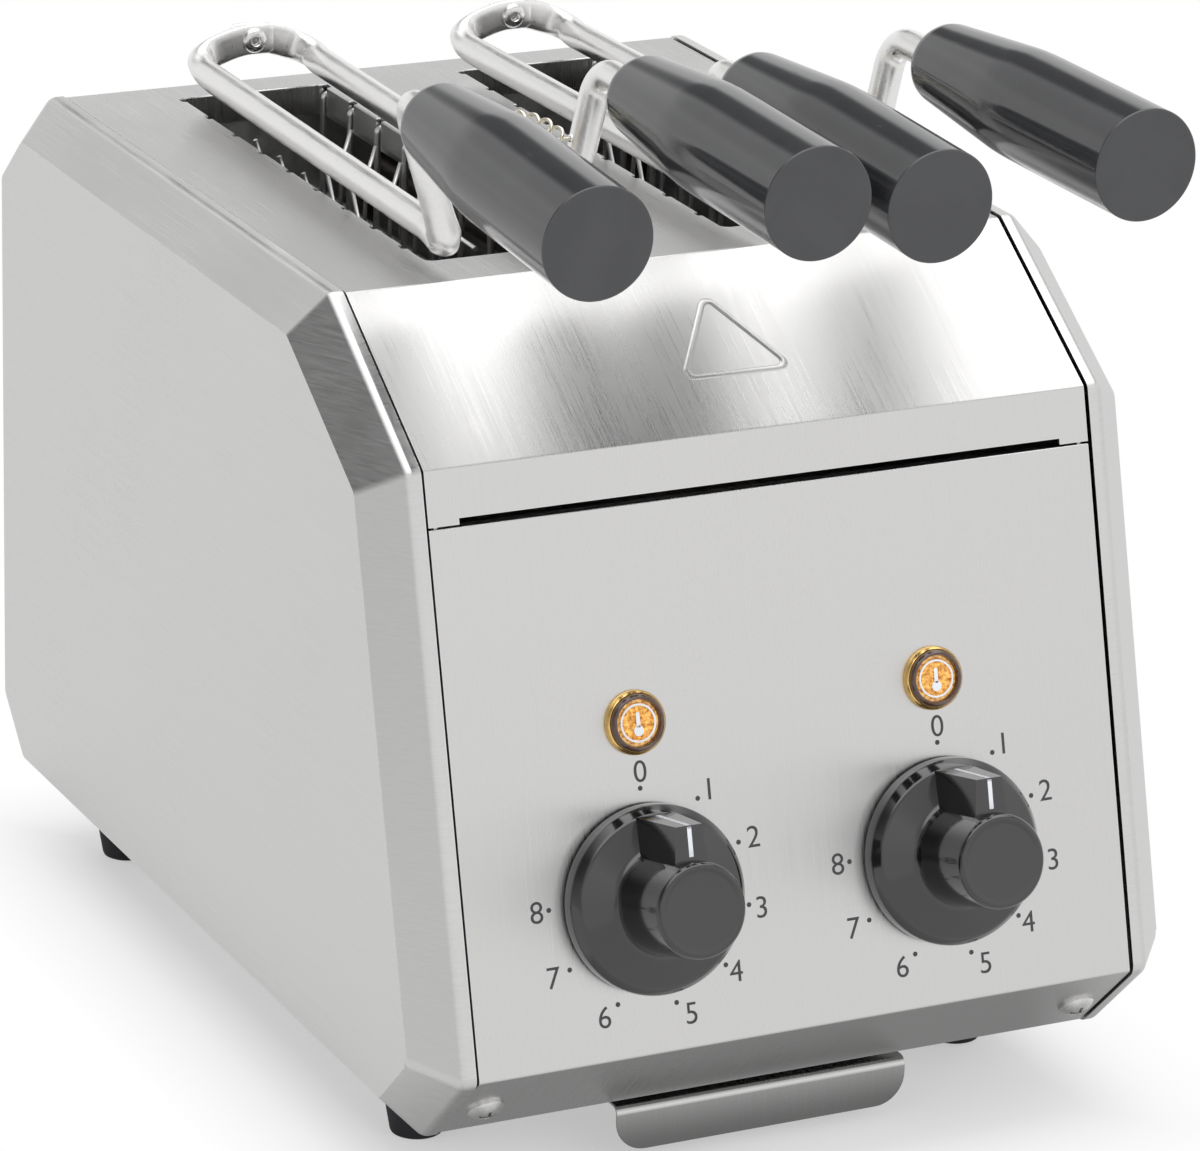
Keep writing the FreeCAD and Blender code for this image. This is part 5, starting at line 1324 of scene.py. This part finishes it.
def add_floor(scene):
    """Pale floor with the object's shadow, which glows white away from the body. In
    reflections it is glow alone, dimmed near the body as a painted shadow.
    """
    bm = bmesh.new()
    bmesh.ops.create_circle(bm, cap_ends=True, segments=96, radius=FLOOR_RADIUS)
    mesh = bpy.data.meshes.new("floor")
    bm.to_mesh(mesh)
    bm.free()
    floor = bpy.data.objects.new("floor", mesh)
    scene.collection.objects.link(floor)
    made, tree, shader, vector = start_material("pale_floor")
    noise = noise_node(tree, vector, 6.0, 3.0)
    colour = tuple(finishes().floor)
    tree.links.new(mix_colour(tree, noise, shade(colour, 0.985), shade(colour, 1.015)),
                   shader.inputs["Base Color"])
    shader.inputs["Roughness"].default_value = 0.9
    shader.inputs["Specular IOR Level"].default_value = 0.0
    glow = tree.nodes.new("ShaderNodeEmission")
    glow.inputs["Color"].default_value = (1, 1, 1, 1)
    watching = tree.nodes.new("ShaderNodeLightPath").outputs["Is Camera Ray"]
    outside = []
    axes = axes_of(tree, vector)
    for axis, half in GROUND_HALF:
        reach = math_node(tree, "SUBTRACT", math_node(tree, "ABSOLUTE", axes[axis]), half)
        outside.append(math_node(tree, "MAXIMUM", reach, 0.0))
    gap = math_node(tree, "MAXIMUM", outside[0], outside[1])
    # Painted shadow: reflections see only the glow, which is dimmer near the body in place of its
    # shadow
    mirrored_glow_and_painted_shadow = remap(tree, gap, 0.0, *MIRRORED_GLOW_AND_PAINTED_SHADOW)
    tree.links.new(math_node(tree, "MAXIMUM", mirrored_glow_and_painted_shadow, watching), glow.inputs["Strength"])
    far = remap(tree, gap, 0.0, *SEEN_GLOW)
    far = math_node(tree, "MAXIMUM", far, math_node(tree, "SUBTRACT", 1.0, watching))
    share = math_node(tree, "MULTIPLY", far, seen_directly(tree), True)
    tree.links.new(mix_shaders(tree, share, shader.outputs[0], glow.outputs[0]),
                   tree.nodes["Material Output"].inputs["Surface"])
    mesh.materials.append(made)


def seen_directly(tree):
    """1 for what the camera sees, also in reflections and through clear pieces."""
    path = tree.nodes.new("ShaderNodeLightPath")
    seen = math_node(tree, "MAXIMUM", path.outputs["Is Camera Ray"],
                     path.outputs["Is Glossy Ray"])
    return math_node(tree, "MAXIMUM", seen, path.outputs["Is Transmission Ray"])


def add_world(scene):
    """Pale surroundings: bright ceiling, dim gap below it, pale horizon, and a few patches."""
    world = bpy.data.worlds.new("surroundings")
    scene.world = world
    world.use_nodes = True
    tree = world.node_tree
    plain = tree.nodes["Background"]
    plain.inputs["Color"].default_value = (1, 1, 1, 1)
    plain.inputs["Strength"].default_value = PLAIN_LEVEL
    shown = tree.nodes.new("ShaderNodeBackground")
    looking = tree.nodes.new("ShaderNodeTexCoord").outputs["Generated"]
    ramp = tree.nodes.new("ShaderNodeValToRGB")
    elements = ramp.color_ramp.elements
    while len(elements) < len(ELEVATIONS):
        elements.new(0.5)
    for element, (elevation, level) in zip(elements, ELEVATIONS):
        grey = level / BRIGHTEST
        element.position = (math.sin(math.radians(elevation)) + 1) / 2
        element.color = (grey, grey, grey, 1)
    rise = axes_of(tree, looking)["Z"]
    tree.links.new(remap(tree, rise, -1.0, 1.0, 0.0, 1.0), ramp.inputs["Fac"])
    tree.links.new(ramp.outputs["Color"], shown.inputs["Color"])
    level = facing(tree, looking, *PATCHES[0])
    for patch in PATCHES[1:]:
        level = math_node(tree, "MULTIPLY", level, facing(tree, looking, *patch))
    tree.links.new(math_node(tree, "MULTIPLY", level, BRIGHTEST), shown.inputs["Strength"])
    tree.links.new(mix_shaders(tree, seen_directly(tree), plain.outputs[0], shown.outputs[0]),
                   tree.nodes["World Output"].inputs["Surface"])


def facing(tree, looking, axis, start, full, level):
    """1 away from a direction, turning to a level towards it."""
    same = vector_node(tree, "DOT_PRODUCT", looking, Vector(axis).normalized())
    return remap(tree, same, start, full, 1.0, level)


def add_lamp(name, place, aim, width, height, radiance):
    """Soft box: its power follows from its area and how bright its face looks."""
    light = bpy.data.lights.new(name, "AREA")
    light.shape = "RECTANGLE"
    light.size = width
    light.size_y = height
    light.energy = radiance * math.pi * width * height
    lamp = bpy.data.objects.new(name, light)
    lamp.location = place
    lamp.rotation_euler = (Vector(aim) - Vector(place)).to_track_quat("-Z", "Y").to_euler()
    lamp.visible_glossy = False
    bpy.context.scene.collection.objects.link(lamp)


class TOASTER_PT_pieces(Panel):
    """Sizes, colours and pieces of the clamp toaster"""
    bl_idname = "TOASTER_PT_pieces"
    bl_label = "Clamp toaster"
    bl_space_type = "VIEW_3D"
    bl_region_type = "UI"
    bl_category = "Toaster"

    def draw(self, context):
        for title, group in (("Sizes", sizes()), ("Colours", finishes())):
            box = self.layout.box()
            box.label(text=title)
            for name in group.bl_rna.properties.keys():
                if name not in ("rna_type", "name"):
                    box.prop(group, name)
        column = self.layout.column()
        for piece in PIECES:
            column.operator(piece.bl_idname)


PIECES = (
    TOASTER_OT_stage, TOASTER_OT_side_shells, TOASTER_OT_sheets, TOASTER_OT_slope_mark,
    TOASTER_OT_screws, TOASTER_OT_knobs, TOASTER_OT_dial_print, TOASTER_OT_lamps,
    TOASTER_OT_inner_parts, TOASTER_OT_tong_arms, TOASTER_OT_tong_handles,
    TOASTER_OT_tong_fittings)
CLASSES = (ToasterSizes, ToasterFinishes, *PIECES, TOASTER_PT_pieces)


def register():
    for piece in CLASSES:
        bpy.utils.register_class(piece)
    bpy.types.Scene.toaster_sizes = PointerProperty(type=ToasterSizes)
    bpy.types.Scene.toaster_finishes = PointerProperty(type=ToasterFinishes)


def unregister():
    del bpy.types.Scene.toaster_finishes
    del bpy.types.Scene.toaster_sizes
    for piece in reversed(CLASSES):
        bpy.utils.unregister_class(piece)


def main():
    register()
    for piece in PIECES:
        category, operator = piece.bl_idname.split(".")
        getattr(getattr(bpy.ops, category), operator)()


if __name__ == "__main__":
    main()
